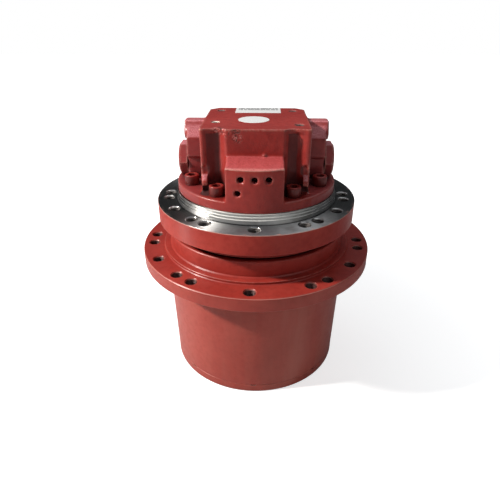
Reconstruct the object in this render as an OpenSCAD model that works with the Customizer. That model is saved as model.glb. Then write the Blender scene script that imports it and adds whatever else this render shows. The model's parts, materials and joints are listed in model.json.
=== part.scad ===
// Track drive of a small excavator.
// A fixed spindle holds an axial piston motor with its parking brake, and bolts to the frame.
// A hub, which carries the track sprocket, turns round it on two ball bearings. Two planetary
// stages in the lower half of the hub drive it. The drive axis is Z. The part stands on its
// end cover with the motor upwards, and the front of the motor faces -Y.

/* [Hub] */
// Wall of the barrel round the ring gear's bore, just below the sprocket flange
barrel_wall = 21; // [19:0.5:22]
// How much smaller the barrel is at the end cover
barrel_draft = 7; // [4:0.5:8]
// Diameter of the pilot that centres the sprocket
sprocket_pilot_d = 250; // [249:0.5:254]
// Height of that pilot below the sprocket face
sprocket_pilot_h = 9; // [6:0.5:12]
// Diameter of the sprocket flange
sprocket_flange_d = 310; // [306:1:320]
// Thickness of the sprocket flange
sprocket_flange_t = 18; // [16:0.5:20]
// Distance of the sprocket screws from the flange's edge
sprocket_screw_edge = 14; // [13:0.5:16]
// Diameter of the raised step on top of the sprocket flange
step_d = 253.5; // [248:0.5:258]
// Height of that step
step_h = 4; // [2:0.5:6]
// Diameter of the neck above the step
neck_d = 235; // [233:0.5:240]
// Height of the neck's top above the sprocket flange
neck_h = 26; // [24:0.5:28]
// Turn of the hub at rest about the drive axis, in degrees
hub_clock = -1.6; // [-5:0.1:5]
// Thread diameter of the flange screw holes
flange_hole_d = 14; // [12:1:16]
// Diameter of the six holes that only the nine-screw pattern uses
second_hole_d = 13.6; // [11.6:0.2:15.6]
// Chamfer of the flange screw holes
flange_hole_chamfer = 1; // [0.5:0.25:1.5]

/* [End cover] */
// Thickness of the cover at its rim
cover_t = 12; // [11:0.5:16]
// Length of the spigot that enters the hub
cover_spigot_h = 6; // [6:0.5:7]
// Number of cover screws
cover_screws = 12; // [8:1:16]
// Distance of the cover screws from the cover's edge
cover_screw_edge = 9; // [8.5:0.25:9.5]
// Distance of the oil plugs from the axis
oil_plug_r = 56; // [48:1:66]
// Thread diameter of the oil plugs
oil_plug_d = 18; // [16:1:20]

/* [Spindle] */
// Diameter of the frame flange
frame_flange_d = 260; // [258:1:266]
// Thickness of the frame flange
frame_flange_t = 26; // [24:0.5:28]
// Distance of the frame screws from the flange's edge
frame_screw_edge = 15; // [13:0.5:15]
// Diameter of the pilot that enters the frame plate
frame_pilot_d = 210; // [209:0.5:212]
// Height of that pilot
frame_pilot_h = 6; // [4:0.5:8]
// Height of the stepped relief above the pilot
pilot_relief_h = 6.5; // [5:0.5:8]
// Distance between the two flanges' upper faces
flange_distance = 66; // [65:0.5:68]
// Thickness of the floor between the gears and the motor
spindle_floor_t = 33.2; // [32:0.2:36]

/* [Gears] */
// Module of both stages
gear_module = 2.75; // [2.7:0.01:2.78]
// Pressure angle of both stages
pressure_angle = 25; // [24:0.5:26]
// Tooth height above the pitch circle, in modules
addendum = 0.8; // [0.75:0.01:0.82]
// Tooth depth below the pitch circle, in modules
dedendum = 1.05; // [1:0.01:1.1]
// Thinning of each flank for running play
flank_play = 0.1; // [0.08:0.01:0.14]
// Width of the first planets
planet_1_h = 20; // [18:0.5:22]
// Width of the second planets
planet_2_h = 34; // [32:0.5:38]
// Diameter of the first planets' pins
pin_1_d = 18; // [16:0.5:20]
// Diameter of the second planets' pins
pin_2_d = 26; // [24:0.5:28]
// Diameter of the first planets' needles
needle_1_d = 3.5; // [3:0.25:4]
// Diameter of the second planets' needles
needle_2_d = 4; // [3.5:0.25:4.5]
// Thickness of the turning carrier
carrier_1_t = 7; // [6:0.5:9]
// Thickness of the fixed carrier's lower plate
carrier_2_t = 8; // [7:0.5:10]
// Thickness of the fixed carrier's upper plate
carrier_2_top_t = 10; // [9:0.5:12]
// Diameter of the fixed carrier
carrier_2_d = 182; // [178:1:183]

/* [Bearings and seal] */
// Height of a main bearing's section, from its journal to the hub's bore
bearing_section = 22; // [21:0.2:23]
// Width of each main bearing
bearing_w = 20; // [19:0.5:21]
// Distance between the main bearings
bearing_gap = 16; // [14:0.5:17]
// Diameter of the main bearing balls
ball_d = 12; // [11:0.25:12.5]
// Balls in each main bearing
ball_count = 26; // [20:1:28]
// Height of the nut below the lower bearing
nut_h = 8; // [7:0.5:9]
// Section of the two seal O-rings
seal_cord_d = 7.7; // [7.5:0.05:7.8]

/* [Motor] */
// Tilt of the swash plate in degrees
swash_tilt = 14; // [12:0.5:15]
// Thickness of the swash plate at its centre
swash_t = 20; // [19:0.5:21]
// Number of pistons
pistons_n = 9; // [7:2:9]
// Pitch radius of the pistons
piston_ring_r = 31; // [30:0.5:31.5]
// Diameter of the pistons
piston_d = 14.8; // [13:0.1:15]
// Diameter of the cylinder block
block_d = 86; // [85:0.5:87]
// Height of the cylinder block
block_h = 62; // [60:0.5:64]
// Thickness of the valve plate
valve_plate_t = 5; // [4:0.5:6]
// Diameter of the motor shaft in its roller bearing
shaft_d = 35; // [34:0.5:36]

/* [Motor cover] */
// Diameter of the cover's round foot
cover_foot_d = 204; // [202:0.5:206]
// Thickness of the cover's round foot
cover_foot_t = 12.5; // [11:0.5:14]
// Width of the block
block_w = 126; // [124:1:130]
// Distance of the block's front wall from the axis
block_front = 70; // [69:0.5:72]
// Distance of the block's back wall from the axis
block_back = 60; // [58:0.5:64]
// Height of the block above the foot
block_top_h = 75; // [73:0.5:78]
// Width of the nose on the front
nose_w = 66; // [62:1:68]
// Height of the nose's upper edge above the foot
nose_h = 38.5; // [36:0.5:41]
// Rise of the nose's ledge towards the block
ledge_rise = 6.5; // [4:0.5:9]
// Depth of the grooves that run up the front
groove_depth = 7.8; // [6:0.2:9]
// Radius of the pockets round the front and back screws
pocket_r = 14.5; // [13:0.5:15]
// Height of those pockets below their sloping roofs
pocket_h = 12; // [8:0.5:14]
// Diameter of the round valve bosses on both sides
boss_d = 52; // [50:0.5:54]
// Distance of the bosses' end faces from the axis
boss_reach = 86; // [84:0.5:87]
// How far the lugs above the bosses stand out past them
lug_reach = 2.8; // [1:0.2:4]
// Height of the spool's axis above the foot
spool_h = 22.5; // [21.5:0.5:24]
// Diameter of the spool
spool_d = 26; // [25:0.5:27]
// Travel of the spool each way
spool_travel = 4; // [3:0.5:5]
// Width across flats of the spool caps
cap_af = 41; // [38:0.5:42]
// Thread diameter of the main ports
port_d = 21; // [19:0.5:23]
// Distance of the main ports from the middle
port_x = 20; // [19:0.5:20.5]

/* [Fits] */
// Radial clearance of pieces that are fitted to each other for good
fit_gap = 0.05; // [0.03:0.01:0.08]
// Radial clearance of pieces that turn or slide on each other
run_gap = 0.15; // [0.1:0.01:0.2]
// Axial clearance beside gears and washers
side_gap = 0.2; // [0.15:0.05:0.3]
// Thickness of the thrust washers
washer_t = 1; // [0.8:0.1:1.2]
// Edge chamfer of machined and cast pieces
edge = 1; // [0.5:0.1:1.2]

/* [Hidden] */
$fn = 120;

// Lengths that cuts run past the surfaces they open
cut = 1;

// Heights, from the end cover's face upwards
thrust_pad_h = 3;
input_clearance = 9;
carrier_clearance = 1.2;
nut_clearance = 1;
swash_room_h = 46;
cover_step_h = 5.5;
ring_z = cover_t + cover_spigot_h;
pad_top = cover_t + thrust_pad_h;
planet_1_z = cover_t + input_clearance;
carrier_1_z = planet_1_z + planet_1_h + side_gap + washer_t;
carrier_2_z = carrier_1_z + carrier_1_t + carrier_clearance;
planet_2_z = carrier_2_z + carrier_2_t + side_gap + washer_t;
carrier_2_top_z = planet_2_z + planet_2_h + side_gap + washer_t;
spindle_z = carrier_2_top_z + carrier_2_top_t;
bearing_z = spindle_z + nut_clearance + nut_h;
bearing_2_z = bearing_z + bearing_w + bearing_gap;
bearing_top_z = bearing_2_z + bearing_w;
floor_z = spindle_z + spindle_floor_t;
block_z = floor_z + swash_room_h;
valve_plate_z = block_z + block_h;
cover_face_z = valve_plate_z + valve_plate_t;
pilot_top_z = cover_face_z + cover_step_h;
frame_face_z = pilot_top_z - pilot_relief_h - frame_pilot_h;
frame_under_z = frame_face_z - frame_flange_t;
sprocket_top_z = frame_face_z - flange_distance;
sprocket_face_z = sprocket_top_z - sprocket_flange_t;
hub_top_z = sprocket_top_z + neck_h;
foot_top_z = pilot_top_z + cover_foot_t;
block_top_z = foot_top_z + block_top_h;
spool_z = foot_top_z + spool_h;

// Screw holes of both flanges, counted from the front: twelve, and six more that make up a
// ring of nine with every fourth of the twelve
front = -90;
first_angles = [for (i = [0:11]) 30 * i];
second_angles = [for (i = [0:8]) if (i % 3 != 0) 40 * i];

// Gear sizes. These tooth counts mesh, and three planets can be put in at equal angles
ring_teeth = 69;
sun_1_teeth = 9;
sun_2_teeth = 15;
planets = 3;
planet_1_teeth = (ring_teeth - sun_1_teeth) / 2;
planet_2_teeth = (ring_teeth - sun_2_teeth) / 2;
centre_1 = gear_module * (sun_1_teeth + planet_1_teeth) / 2;
centre_2 = gear_module * (sun_2_teeth + planet_2_teeth) / 2;
planet_2_tip_r = gear_module * (planet_2_teeth / 2 + addendum);
sun_2_tip_r = gear_module * (sun_2_teeth / 2 + addendum);
sun_1_root_r = gear_module * (sun_1_teeth / 2 - dedendum);
planet_angles = [for (i = [0:planets - 1]) 90 + i * 360 / planets];
flank_steps = 3;
drive_shaft_r = sun_1_root_r - 1.3;
drive_end_z = spindle_z + 18;

// Screws of the motor cover and of the fixed carrier
main_screw_d = 12;
main_screw_head_d = 18;
cover_grip = 22;
carrier_grip = 18;
carrier_seat_h = 16;
web_r = 64;

// Small O-rings and the grooves that they lie in
small_cord_d = 2.4;
ring_groove_d = 2.5;
ring_groove_w = 3;

// Planet bearings
needle_1_ring_r = pin_1_d / 2 + needle_1_d / 2 + run_gap / 2;
needle_2_ring_r = pin_2_d / 2 + needle_2_d / 2 + run_gap / 2;
planet_1_bore_r = pin_1_d / 2 + needle_1_d + run_gap;
planet_2_bore_r = pin_2_d / 2 + needle_2_d + run_gap;
circlip_t = 1.4;
circlip_z = planet_1_z - side_gap - washer_t - circlip_t;

// The ring gear and the main bearings share the hub's bore, a whole number of millimetres
ring_wall = 4;
hub_bore_r = ceil(gear_module * (ring_teeth / 2 + dedendum) + ring_wall);
ring_gear_r = hub_bore_r - fit_gap;
journal_r = hub_bore_r - bearing_section;
ball_ring_r = hub_bore_r - bearing_section / 2;
race_inner_r = ball_ring_r - ball_d / 4;
race_outer_r = ball_ring_r + ball_d / 4;

// Barrel, and the screw circles of hub, cover and spindle
barrel_r = hub_bore_r + barrel_wall;
rim_r = barrel_r - barrel_draft / 2;
sprocket_pcd = sprocket_flange_d - 2 * sprocket_screw_edge;
frame_pcd = frame_flange_d - 2 * frame_screw_edge;
cover_screw_r = rim_r - cover_screw_edge;

// End cover's screws, recess, spigot and plugs
cover_screw_d = 8;
cover_screw_head_d = 13;
cover_screw_l = 26;
cover_seat_z = 8.4;
cover_recess = 1.5;
cover_plate_top = cover_t - 4;
spigot_r = hub_bore_r - fit_gap;
spigot_inner_r = spigot_r - 11;
pad_r = 14;
pad_pin_r = 6;
pad_pin_h = 4.5;
plug_angles = [front, 0, 90];
plug_seat_z = cover_recess + 3;

// Floating seal
seal_seat_r = journal_r + 26;
seal_ring_r = seal_seat_r - 14;
seal_stem_r = seal_seat_r - seal_cord_d - 2 * fit_gap;
seal_face_z = hub_top_z - 5;
seal_ring_h = 10;
seal_flange_t = 4;
seal_cord_r = (seal_stem_r + seal_seat_r) / 2;
seal_ledge_z = seal_face_z - seal_flange_t - seal_cord_d - side_gap;
skirt_r = seal_seat_r + 7;
skirt_z = hub_top_z + 2;

// Motor sizes
shaft_r = shaft_d / 2;
shaft_seat_r = 30;
shaft_lip_h = 7.2;
shaft_bearing_w = 15;
motor_bore_r = 62;
plate_bore_r = 66;
brake_bore_r = 72;
brake_z = block_z + 16;
brake_disc_t = 2;
friction_discs = 3;
brake_stack_h = (2 * friction_discs + 1) * brake_disc_t;
brake_piston_z = brake_z + brake_stack_h;
brake_low_h = 12;
brake_high_h = 16;
brake_step_z = brake_piston_z + brake_low_h;
brake_piston_top = brake_step_z + brake_high_h;
brake_piston_inner_r = block_d / 2 + 5;
low_ring_z = brake_piston_z + brake_low_h / 2;
high_ring_z = brake_step_z + 7;
spigot_z = cover_face_z - 4;
brake_spring_r = 60;
brake_spring_n = 8;
brake_coil_r = 4.2;
brake_wire_d = 1.8;
brake_pocket_r = brake_coil_r + 1.4;
brake_pocket_h = 14;
spline_teeth = 18;
spline_r = 16.2;
shaft_bore_r = spline_r + 0.8;
shaft_tip_r = 12.4;
swash_z = floor_z + 0.3;
swash_top_z = swash_z + swash_t;
swash_ball_r = 8;
swash_ball_x = 40;
slipper_h = 8;
slipper_pad_t = 3.5;
slipper_neck_r = 6.6;
slipper_pad_r = slipper_neck_r + 2;
retainer_ball_r = 20;
retainer_t = 2.5;
piston_ball_r = 5.5;
stroke_z = swash_top_z + slipper_h / cos(swash_tilt);
piston_len = 56;
speed_piston_r = 8;
speed_piston_y = -42;
speed_piston_h = 19;
speed_room_h = 2;

// Motor cover
foot_r = cover_foot_d / 2;
screw_ring_r = 86.5;
screw_angles = [31, 66, 114, 149];
corner_cut = 11;
cap_inner_r = 15;
cap_stem = 18;
cap_hex_t = 11.5;
port_z = foot_top_z + 26;
port_nose_w = 88;
tool_room_r = main_screw_head_d / 2 + 0.3;
cover_bearing_r = 18;
cover_bearing_h = 14;
pocket_roof_h = 27;
top_plate_t = 5;
top_groove_depth = 4.8;
gauge_hole_d = 7;
gauge_hole_depth = 14;
face_ring_r = brake_bore_r + 4.3;
face_ring_d = 2;
face_groove_w = 3.6;
face_groove_h = 2.1;
spool_end = 54;
spool_coil_r = 8.6;
spool_wire_d = 2.2;

function polar(r, a) = [r * cos(a), r * sin(a)];

// Angle in degrees between the start of an involute and its point at radius r
function involute_angle(base, r) =
    let (roll = sqrt(max(0, pow(r / base, 2) - 1)))
    roll * 180 / PI - atan(roll);

// Half the angle of a tooth at radius r, where play thins the tooth
function tooth_half(teeth, r, play) =
    let (pitch = gear_module * teeth / 2, base = pitch * cos(pressure_angle))
    90 / teeth + involute_angle(base, pitch) - involute_angle(base, max(r, base))
        - play / pitch * 180 / PI;

// Radii of one flank from root to tip
function flank_radii(teeth, root, tip) =
    let (base = gear_module * teeth / 2 * cos(pressure_angle), low = max(root, base))
    concat(root < base ? [root] : [],
        [for (i = [0:flank_steps]) low + (tip - low) * i / flank_steps]);

// Outline of a gear with one tooth on the X axis
function gear_points(teeth, root, tip, play) =
    let (radii = flank_radii(teeth, root, tip), n = len(radii))
    [for (t = [0:teeth - 1]) each concat(
        [for (r = radii) polar(r, t * 360 / teeth - tooth_half(teeth, r, play))],
        [for (i = [n - 1:-1:0])
            polar(radii[i], t * 360 / teeth + tooth_half(teeth, radii[i], play))])];

// Turn of a planet at angle a that meshes with a ring tooth on the X axis
function planet_phase(a, teeth) = a - (ring_teeth * a + 180) / teeth;
// Turn of the sun inside such planets
function sun_phase(a, teeth, planet_teeth) =
    a * (1 + ring_teeth / teeth) + 180 * planet_teeth / teeth;

module ring(outer, inner, h) {
    difference() {
        cylinder(r = outer, h = h);
        translate([0, 0, -cut]) cylinder(r = inner, h = h + 2 * cut);
    }
}

module around(n, r, start = 0) {
    for (i = [0:n - 1]) rotate(start + i * 360 / n) translate([r, 0, 0]) children();
}

module at_planets(centre) {
    for (a = planet_angles) rotate(a) translate([centre, 0, 0]) children();
}

// Screw holes of a flange whose upper face is at z = 0
module flange_holes(pcd, depth) {
    for (a = first_angles) rotate(front + a) translate([pcd / 2, 0, 0])
        threaded_hole(flange_hole_d, depth, flange_hole_chamfer);
    for (a = second_angles) rotate(front + a) translate([pcd / 2, 0, 0])
        threaded_hole(second_hole_d, depth, flange_hole_chamfer);
}

// Four screws on each side of the motor cover, counted from the front
module at_cover_bolts() {
    for (side = [-1, 1], a = screw_angles) rotate(front + side * a)
        translate([screw_ring_r, 0, 0]) children();
}

// Hole downwards from the origin, with a chamfered mouth
module threaded_hole(d, depth, chamfer = 1) {
    translate([0, 0, -depth]) cylinder(d = d, h = depth + cut);
    translate([0, 0, -chamfer]) cylinder(d1 = d, d2 = d + 2 * chamfer + 2 * cut, h = chamfer + cut);
}

// Socket head screw with its seat at the origin and its thread downwards
module socket_screw(d, head_d, length) {
    translate([0, 0, -length]) cylinder(r = d / 2 - fit_gap, h = length);
    difference() {
        union() {
            cylinder(d = head_d, h = d - edge);
            translate([0, 0, d - edge]) cylinder(d1 = head_d, d2 = head_d - edge, h = edge);
        }
        translate([0, 0, d * 0.45]) cylinder(d = d * 0.95, h = d, $fn = 6);
    }
}

module o_ring(ring_r, cord_d) {
    rotate_extrude() translate([ring_r, 0]) circle(d = cord_d, $fn = 32);
}

// Gear with its lower face at z = 0
module spur_gear(teeth, h, play = flank_play) {
    pitch = gear_module * teeth / 2;
    linear_extrude(h)
        polygon(gear_points(teeth, pitch - dedendum * gear_module, pitch + addendum * gear_module, play));
}

// Loose coil of round wire between z = 0 and z = length
module coil_spring(coil_r, wire_d, length, turns) {
    steps = 8;
    sides = 5;
    last = turns * steps;
    rise = (length - wire_d) / last;
    points = [for (i = [0:last], j = [0:sides - 1])
        let (a = i * 360 / steps, b = j * 360 / sides, r = coil_r + wire_d / 2 * cos(b))
        [r * cos(a), r * sin(a), wire_d / 2 + i * rise + wire_d / 2 * sin(b)]];
    walls = [for (i = [0:last - 1], j = [0:sides - 1])
        let (k = (j + 1) % sides)
        [i * sides + j, i * sides + k, (i + 1) * sides + k, (i + 1) * sides + j]];
    ends = [[for (j = [sides - 1:-1:0]) j], [for (j = [0:sides - 1]) last * sides + j]];
    polyhedron(points, concat([for (w = walls) each [[w[0], w[1], w[2]], [w[0], w[2], w[3]]]], ends),
        convexity = turns + 1);
}

// ---- Hub, which turns ----

module hub_profile() {
    flange_r = sprocket_flange_d / 2;
    pilot_r = sprocket_pilot_d / 2;
    pilot_z = sprocket_face_z - sprocket_pilot_h;
    step_r = step_d / 2;
    step_z = sprocket_top_z + step_h;
    neck_r = neck_d / 2;
    polygon([
        [hub_bore_r, cover_t], [rim_r - edge / 2, cover_t], [rim_r, cover_t + edge / 2],
        [barrel_r, pilot_z - 2 * edge], [pilot_r, pilot_z], [pilot_r, sprocket_face_z],
        [flange_r - edge, sprocket_face_z], [flange_r, sprocket_face_z + edge],
        [flange_r, sprocket_top_z - edge], [flange_r - edge, sprocket_top_z],
        [step_r + edge, sprocket_top_z], [step_r, sprocket_top_z + edge],
        [step_r, step_z - edge / 2], [step_r - edge / 2, step_z],
        [neck_r + 1.5 * edge, step_z + edge / 2], [neck_r, step_z + 2 * edge],
        [neck_r, hub_top_z - edge], [neck_r - edge, hub_top_z],
        [seal_seat_r, hub_top_z], [seal_seat_r, seal_ledge_z], [hub_bore_r, seal_ledge_z],
        [hub_bore_r, bearing_2_z], [race_outer_r, bearing_2_z],
        [race_outer_r, bearing_z + bearing_w], [hub_bore_r, bearing_z + bearing_w]
    ]);
}

module hub() {
    color("firebrick") difference() {
        rotate_extrude() hub_profile();
        rotate(hub_clock) {
            translate([0, 0, sprocket_top_z]) flange_holes(sprocket_pcd, sprocket_flange_t + cut);
            translate([0, 0, sprocket_face_z]) mirror([0, 0, 1]) flange_holes(sprocket_pcd, cut);
        }
        translate([0, 0, cover_t]) around(cover_screws, cover_screw_r, front) mirror([0, 0, 1])
            threaded_hole(cover_screw_d, cover_screw_l - 2, edge / 2);
    }
}

module ring_gear() {
    pitch = gear_module * ring_teeth / 2;
    color("slategray") translate([0, 0, ring_z]) linear_extrude(bearing_z - ring_z) difference() {
        circle(r = ring_gear_r);
        rotate(180 / ring_teeth) polygon(gear_points(ring_teeth,
            pitch - addendum * gear_module, pitch + dedendum * gear_module, -flank_play));
    }
}

module end_cover() {
    seat_r = cover_screw_head_d / 2 + 0.5;
    notch_w = 7;
    color("firebrick") difference() {
        union() {
            rotate_extrude() polygon([
                [0, cover_recess], [spigot_inner_r + edge, cover_recess],
                [spigot_inner_r + edge + cover_recess, 0], [rim_r - edge, 0], [rim_r, edge],
                [rim_r, cover_t - edge / 2], [rim_r - edge / 2, cover_t], [spigot_r, cover_t],
                [spigot_r, ring_z - edge], [spigot_r - edge, ring_z], [spigot_inner_r, ring_z],
                [spigot_inner_r - 3, cover_plate_top], [pad_r + 8, cover_plate_top],
                [pad_r + 6, cover_t], [0, cover_t]
            ]);
            for (a = plug_angles) rotate(a) translate([oil_plug_r, 0, cover_plate_top - cut])
                cylinder(r = oil_plug_d / 2 + 7, h = cover_t - cover_plate_top + cut);
        }
        // Notches in the rim, for a lever
        for (a = [-45, 0, 45]) rotate(front + a)
            translate([rim_r - 2, -notch_w / 2, cover_t - 1.5]) cube([5, notch_w, 5]);
        around(cover_screws, cover_screw_r, front) {
            translate([0, 0, -cut]) cylinder(d = cover_screw_d + 1, h = cover_t + 2 * cut);
            translate([0, 0, -cut]) cylinder(r = seat_r, h = cover_seat_z + cut);
        }
        for (a = plug_angles) rotate(a) translate([oil_plug_r, 0, -cut]) {
            cylinder(d = oil_plug_d, h = cover_t + 2 * cut);
            cylinder(r = oil_plug_d / 2 + 4, h = plug_seat_z + cut);
        }
        translate([0, 0, cover_t - pad_pin_h - 0.5]) cylinder(r = pad_pin_r, h = pad_pin_h + 0.5 + cut);
        translate([0, 0, cover_t + cover_spigot_h / 2]) rotate_extrude()
            translate([spigot_r - ring_groove_d, -ring_groove_w / 2])
                square([ring_groove_d + cut, ring_groove_w]);
    }
}

module end_cover_screws() {
    color("dimgray") translate([0, 0, cover_seat_z]) around(cover_screws, cover_screw_r, front)
        mirror([0, 0, 1]) socket_screw(cover_screw_d, cover_screw_head_d, cover_screw_l);
}

module end_cover_o_ring() {
    color("black") translate([0, 0, cover_t + cover_spigot_h / 2])
        o_ring(spigot_r - ring_groove_d / 2, small_cord_d);
}

module oil_plugs() {
    head_t = plug_seat_z - cover_recess - 0.3;
    color("dimgray") for (a = plug_angles) rotate(a)
        translate([oil_plug_r, 0, plug_seat_z - head_t]) difference() {
            union() {
                cylinder(r = oil_plug_d / 2 + 3.6, h = head_t);
                cylinder(r = oil_plug_d / 2 - fit_gap, h = cover_t - 2.5);
            }
            translate([0, 0, -cut]) cylinder(d = oil_plug_d * 0.55, h = 6, $fn = 6);
        }
}

module thrust_pad() {
    color("peru") {
        translate([0, 0, cover_t]) cylinder(r = pad_r, h = thrust_pad_h);
        translate([0, 0, cover_t - pad_pin_h]) cylinder(r = pad_pin_r - fit_gap, h = pad_pin_h + cut);
    }
}

// Section of a race between two radii, with the groove that the balls run in
module race(inner, outer) {
    rotate_extrude() difference() {
        translate([inner, 0]) square([outer - inner, bearing_w]);
        translate([ball_ring_r, bearing_w / 2]) circle(r = ball_d / 2 + run_gap);
    }
}

module bearing_outer_races() {
    color("silver") for (z = [bearing_z, bearing_2_z])
        translate([0, 0, z]) race(race_outer_r, hub_bore_r - fit_gap);
}

module turning_seal_ring() {
    color("darkgray") translate([0, 0, seal_face_z]) mirror([0, 0, 1]) seal_ring();
}

module seal_ring() {
    rotate_extrude() polygon([
        [seal_ring_r + 3, 0], [seal_stem_r + 3, 0], [seal_stem_r + 3, seal_flange_t],
        [seal_stem_r, seal_flange_t], [seal_stem_r, seal_ring_h], [seal_ring_r, seal_ring_h],
        [seal_ring_r, 2]
    ]);
}

module turning_seal_o_ring() {
    color("black") translate([0, 0, seal_ledge_z + seal_cord_d / 2 + side_gap / 2])
        o_ring(seal_cord_r, seal_cord_d);
}

// ---- Spindle, which stays still ----

module spindle_profile() {
    flange_r = frame_flange_d / 2;
    pilot_r = frame_pilot_d / 2;
    relief_z = frame_face_z + frame_pilot_h;
    ceiling = seal_face_z + 2 * side_gap + seal_flange_t + seal_cord_d + side_gap;
    polygon([
        [20, spindle_z], [journal_r - 1 - edge, spindle_z], [journal_r - 1, spindle_z + edge],
        [journal_r - 1, bearing_z], [journal_r, bearing_z], [journal_r, bearing_top_z],
        [journal_r + 6, bearing_top_z], [journal_r + 6, ceiling], [seal_seat_r, ceiling],
        [seal_seat_r, skirt_z], [skirt_r - edge, skirt_z], [skirt_r, skirt_z + edge],
        [skirt_r, frame_under_z], [flange_r - edge, frame_under_z], [flange_r, frame_under_z + edge],
        [flange_r, frame_face_z - edge / 2], [flange_r - edge / 2, frame_face_z],
        [pilot_r, frame_face_z], [pilot_r, relief_z], [pilot_r - 1, relief_z],
        [pilot_r - 1, relief_z + pilot_relief_h / 2], [pilot_r - 2, relief_z + pilot_relief_h / 2],
        [pilot_r - 2, pilot_top_z], [brake_bore_r, pilot_top_z], [brake_bore_r, brake_step_z - 2],
        [plate_bore_r, brake_step_z - 2], [plate_bore_r, brake_z], [motor_bore_r, brake_z],
        [motor_bore_r, floor_z], [shaft_seat_r, floor_z], [shaft_seat_r, spindle_z + shaft_lip_h],
        [20, spindle_z + shaft_lip_h]
    ]);
}

module spindle() {
    color("indianred") difference() {
        rotate_extrude() spindle_profile();
        translate([0, 0, frame_face_z]) flange_holes(frame_pcd, frame_flange_t - 4);
        translate([0, 0, pilot_top_z]) at_cover_bolts()
            threaded_hole(main_screw_d, cover_grip + 4, edge / 2);
        translate([0, 0, spindle_z]) mirror([0, 0, 1]) at_webs()
            threaded_hole(main_screw_d, carrier_grip + 3, edge / 2);
        for (side = [-1, 1]) translate([side * swash_ball_x, 0, swash_z])
            sphere(r = swash_ball_r + fit_gap);
        translate([0, speed_piston_y, floor_z - speed_piston_h - speed_room_h])
            cylinder(r = speed_piston_r + fit_gap, h = speed_piston_h + speed_room_h + cut);
    }
}

module bearing_nut() {
    color("dimgray") translate([0, 0, bearing_z - nut_h]) difference() {
        ring(journal_r + 9, journal_r - 1 + fit_gap, nut_h);
        around(6, journal_r + 9) translate([-4, -4, -cut]) cube([10, 8, nut_h + 2 * cut]);
    }
}

module bearing_inner_races() {
    color("silver") for (z = [bearing_z, bearing_2_z])
        translate([0, 0, z]) race(journal_r + fit_gap, race_inner_r);
}

module bearing_balls() {
    color("lightgray") for (z = [bearing_z, bearing_2_z]) translate([0, 0, z + bearing_w / 2])
        around(ball_count, ball_ring_r) sphere(d = ball_d, $fn = 32);
}

module bearing_cages() {
    cage_w = ball_d + 3;
    color("goldenrod") for (z = [bearing_z, bearing_2_z])
        translate([0, 0, z + (bearing_w - cage_w) / 2]) difference() {
            ring(ball_ring_r + 1.2, ball_ring_r - 1.2, cage_w);
            translate([0, 0, cage_w / 2]) around(ball_count, ball_ring_r - 3) rotate([0, 90, 0])
                cylinder(r = ball_d / 2 + run_gap, h = 6);
        }
}

module fixed_seal_ring() {
    color("darkgray") translate([0, 0, seal_face_z + side_gap]) seal_ring();
}

module fixed_seal_o_ring() {
    color("black") translate([0, 0, seal_face_z + side_gap + seal_flange_t + side_gap + seal_cord_d / 2])
        o_ring(seal_cord_r, seal_cord_d);
}

// ---- Second planetary stage, whose carrier stays still ----

// Places between the output planets
module at_webs() {
    for (a = planet_angles) rotate(a + 180 / planets) translate([web_r, 0, 0]) children();
}

module carrier_web() {
    difference() {
        circle(d = carrier_2_d);
        at_planets(centre_2) circle(r = planet_2_tip_r + 1.5);
        circle(r = sun_2_tip_r + 3);
    }
}

module output_carrier() {
    plate_r = carrier_2_d / 2;
    color("gray") translate([0, 0, carrier_2_z]) difference() {
        union() {
            cylinder(r = plate_r, h = carrier_2_t);
            linear_extrude(spindle_z - carrier_2_z) carrier_web();
            translate([0, 0, carrier_2_top_z - carrier_2_z]) cylinder(r = plate_r, h = carrier_2_top_t);
        }
        translate([0, 0, -cut]) cylinder(r = sun_2_tip_r + 1.5, h = carrier_2_top_z - carrier_2_z);
        translate([0, 0, carrier_2_top_z - carrier_2_z - 2 * cut])
            cylinder(r = 16, h = carrier_2_top_t + 3 * cut);
        at_planets(centre_2) translate([0, 0, 1.5])
            cylinder(r = pin_2_d / 2 + fit_gap / 2, h = spindle_z - carrier_2_z);
        at_webs() {
            translate([0, 0, -cut]) cylinder(r = main_screw_head_d / 2 + 0.6, h = carrier_seat_h + cut);
            cylinder(r = main_screw_d / 2 + 0.4, h = spindle_z - carrier_2_z + cut);
        }
    }
}

module carrier_screws() {
    seat_z = carrier_2_z + carrier_seat_h;
    color("dimgray") translate([0, 0, seat_z]) at_webs() mirror([0, 0, 1])
        socket_screw(main_screw_d, main_screw_head_d, spindle_z - seat_z + carrier_grip);
}

module output_pins() {
    color("silver") translate([0, 0, carrier_2_z + 1.5]) at_planets(centre_2)
        cylinder(d = pin_2_d, h = spindle_z - carrier_2_z - 1.5);
}

module needle_set(centre, ring_r, needle_d, h) {
    count = floor(2 * PI * ring_r / (needle_d + 0.4));
    at_planets(centre) around(count, ring_r) cylinder(d = needle_d, h = h, $fn = 24);
}

module output_needles() {
    color("silver") translate([0, 0, planet_2_z + 1])
        needle_set(centre_2, needle_2_ring_r, needle_2_d, planet_2_h - 2);
}

module washer_set(centre, pin_d, width, low_z, high_z) {
    for (z = [low_z, high_z]) translate([0, 0, z]) at_planets(centre)
        ring(pin_d / 2 + width, pin_d / 2 + run_gap, washer_t);
}

module output_washers() {
    color("peru") washer_set(centre_2, pin_2_d, 10, carrier_2_z + carrier_2_t,
        planet_2_z + planet_2_h + side_gap);
}

// Planet number i of a stage, turned so that it meshes
module planet(i, centre, teeth, bore_r, h) {
    a = planet_angles[i];
    translate(concat(polar(centre, a), 0)) rotate(planet_phase(a, teeth)) difference() {
        spur_gear(teeth, h);
        translate([0, 0, -cut]) cylinder(r = bore_r, h = h + 2 * cut);
    }
}

module output_planet(i) {
    color("steelblue") translate([0, 0, planet_2_z])
        planet(i, centre_2, planet_2_teeth, planet_2_bore_r, planet_2_h);
}

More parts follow.
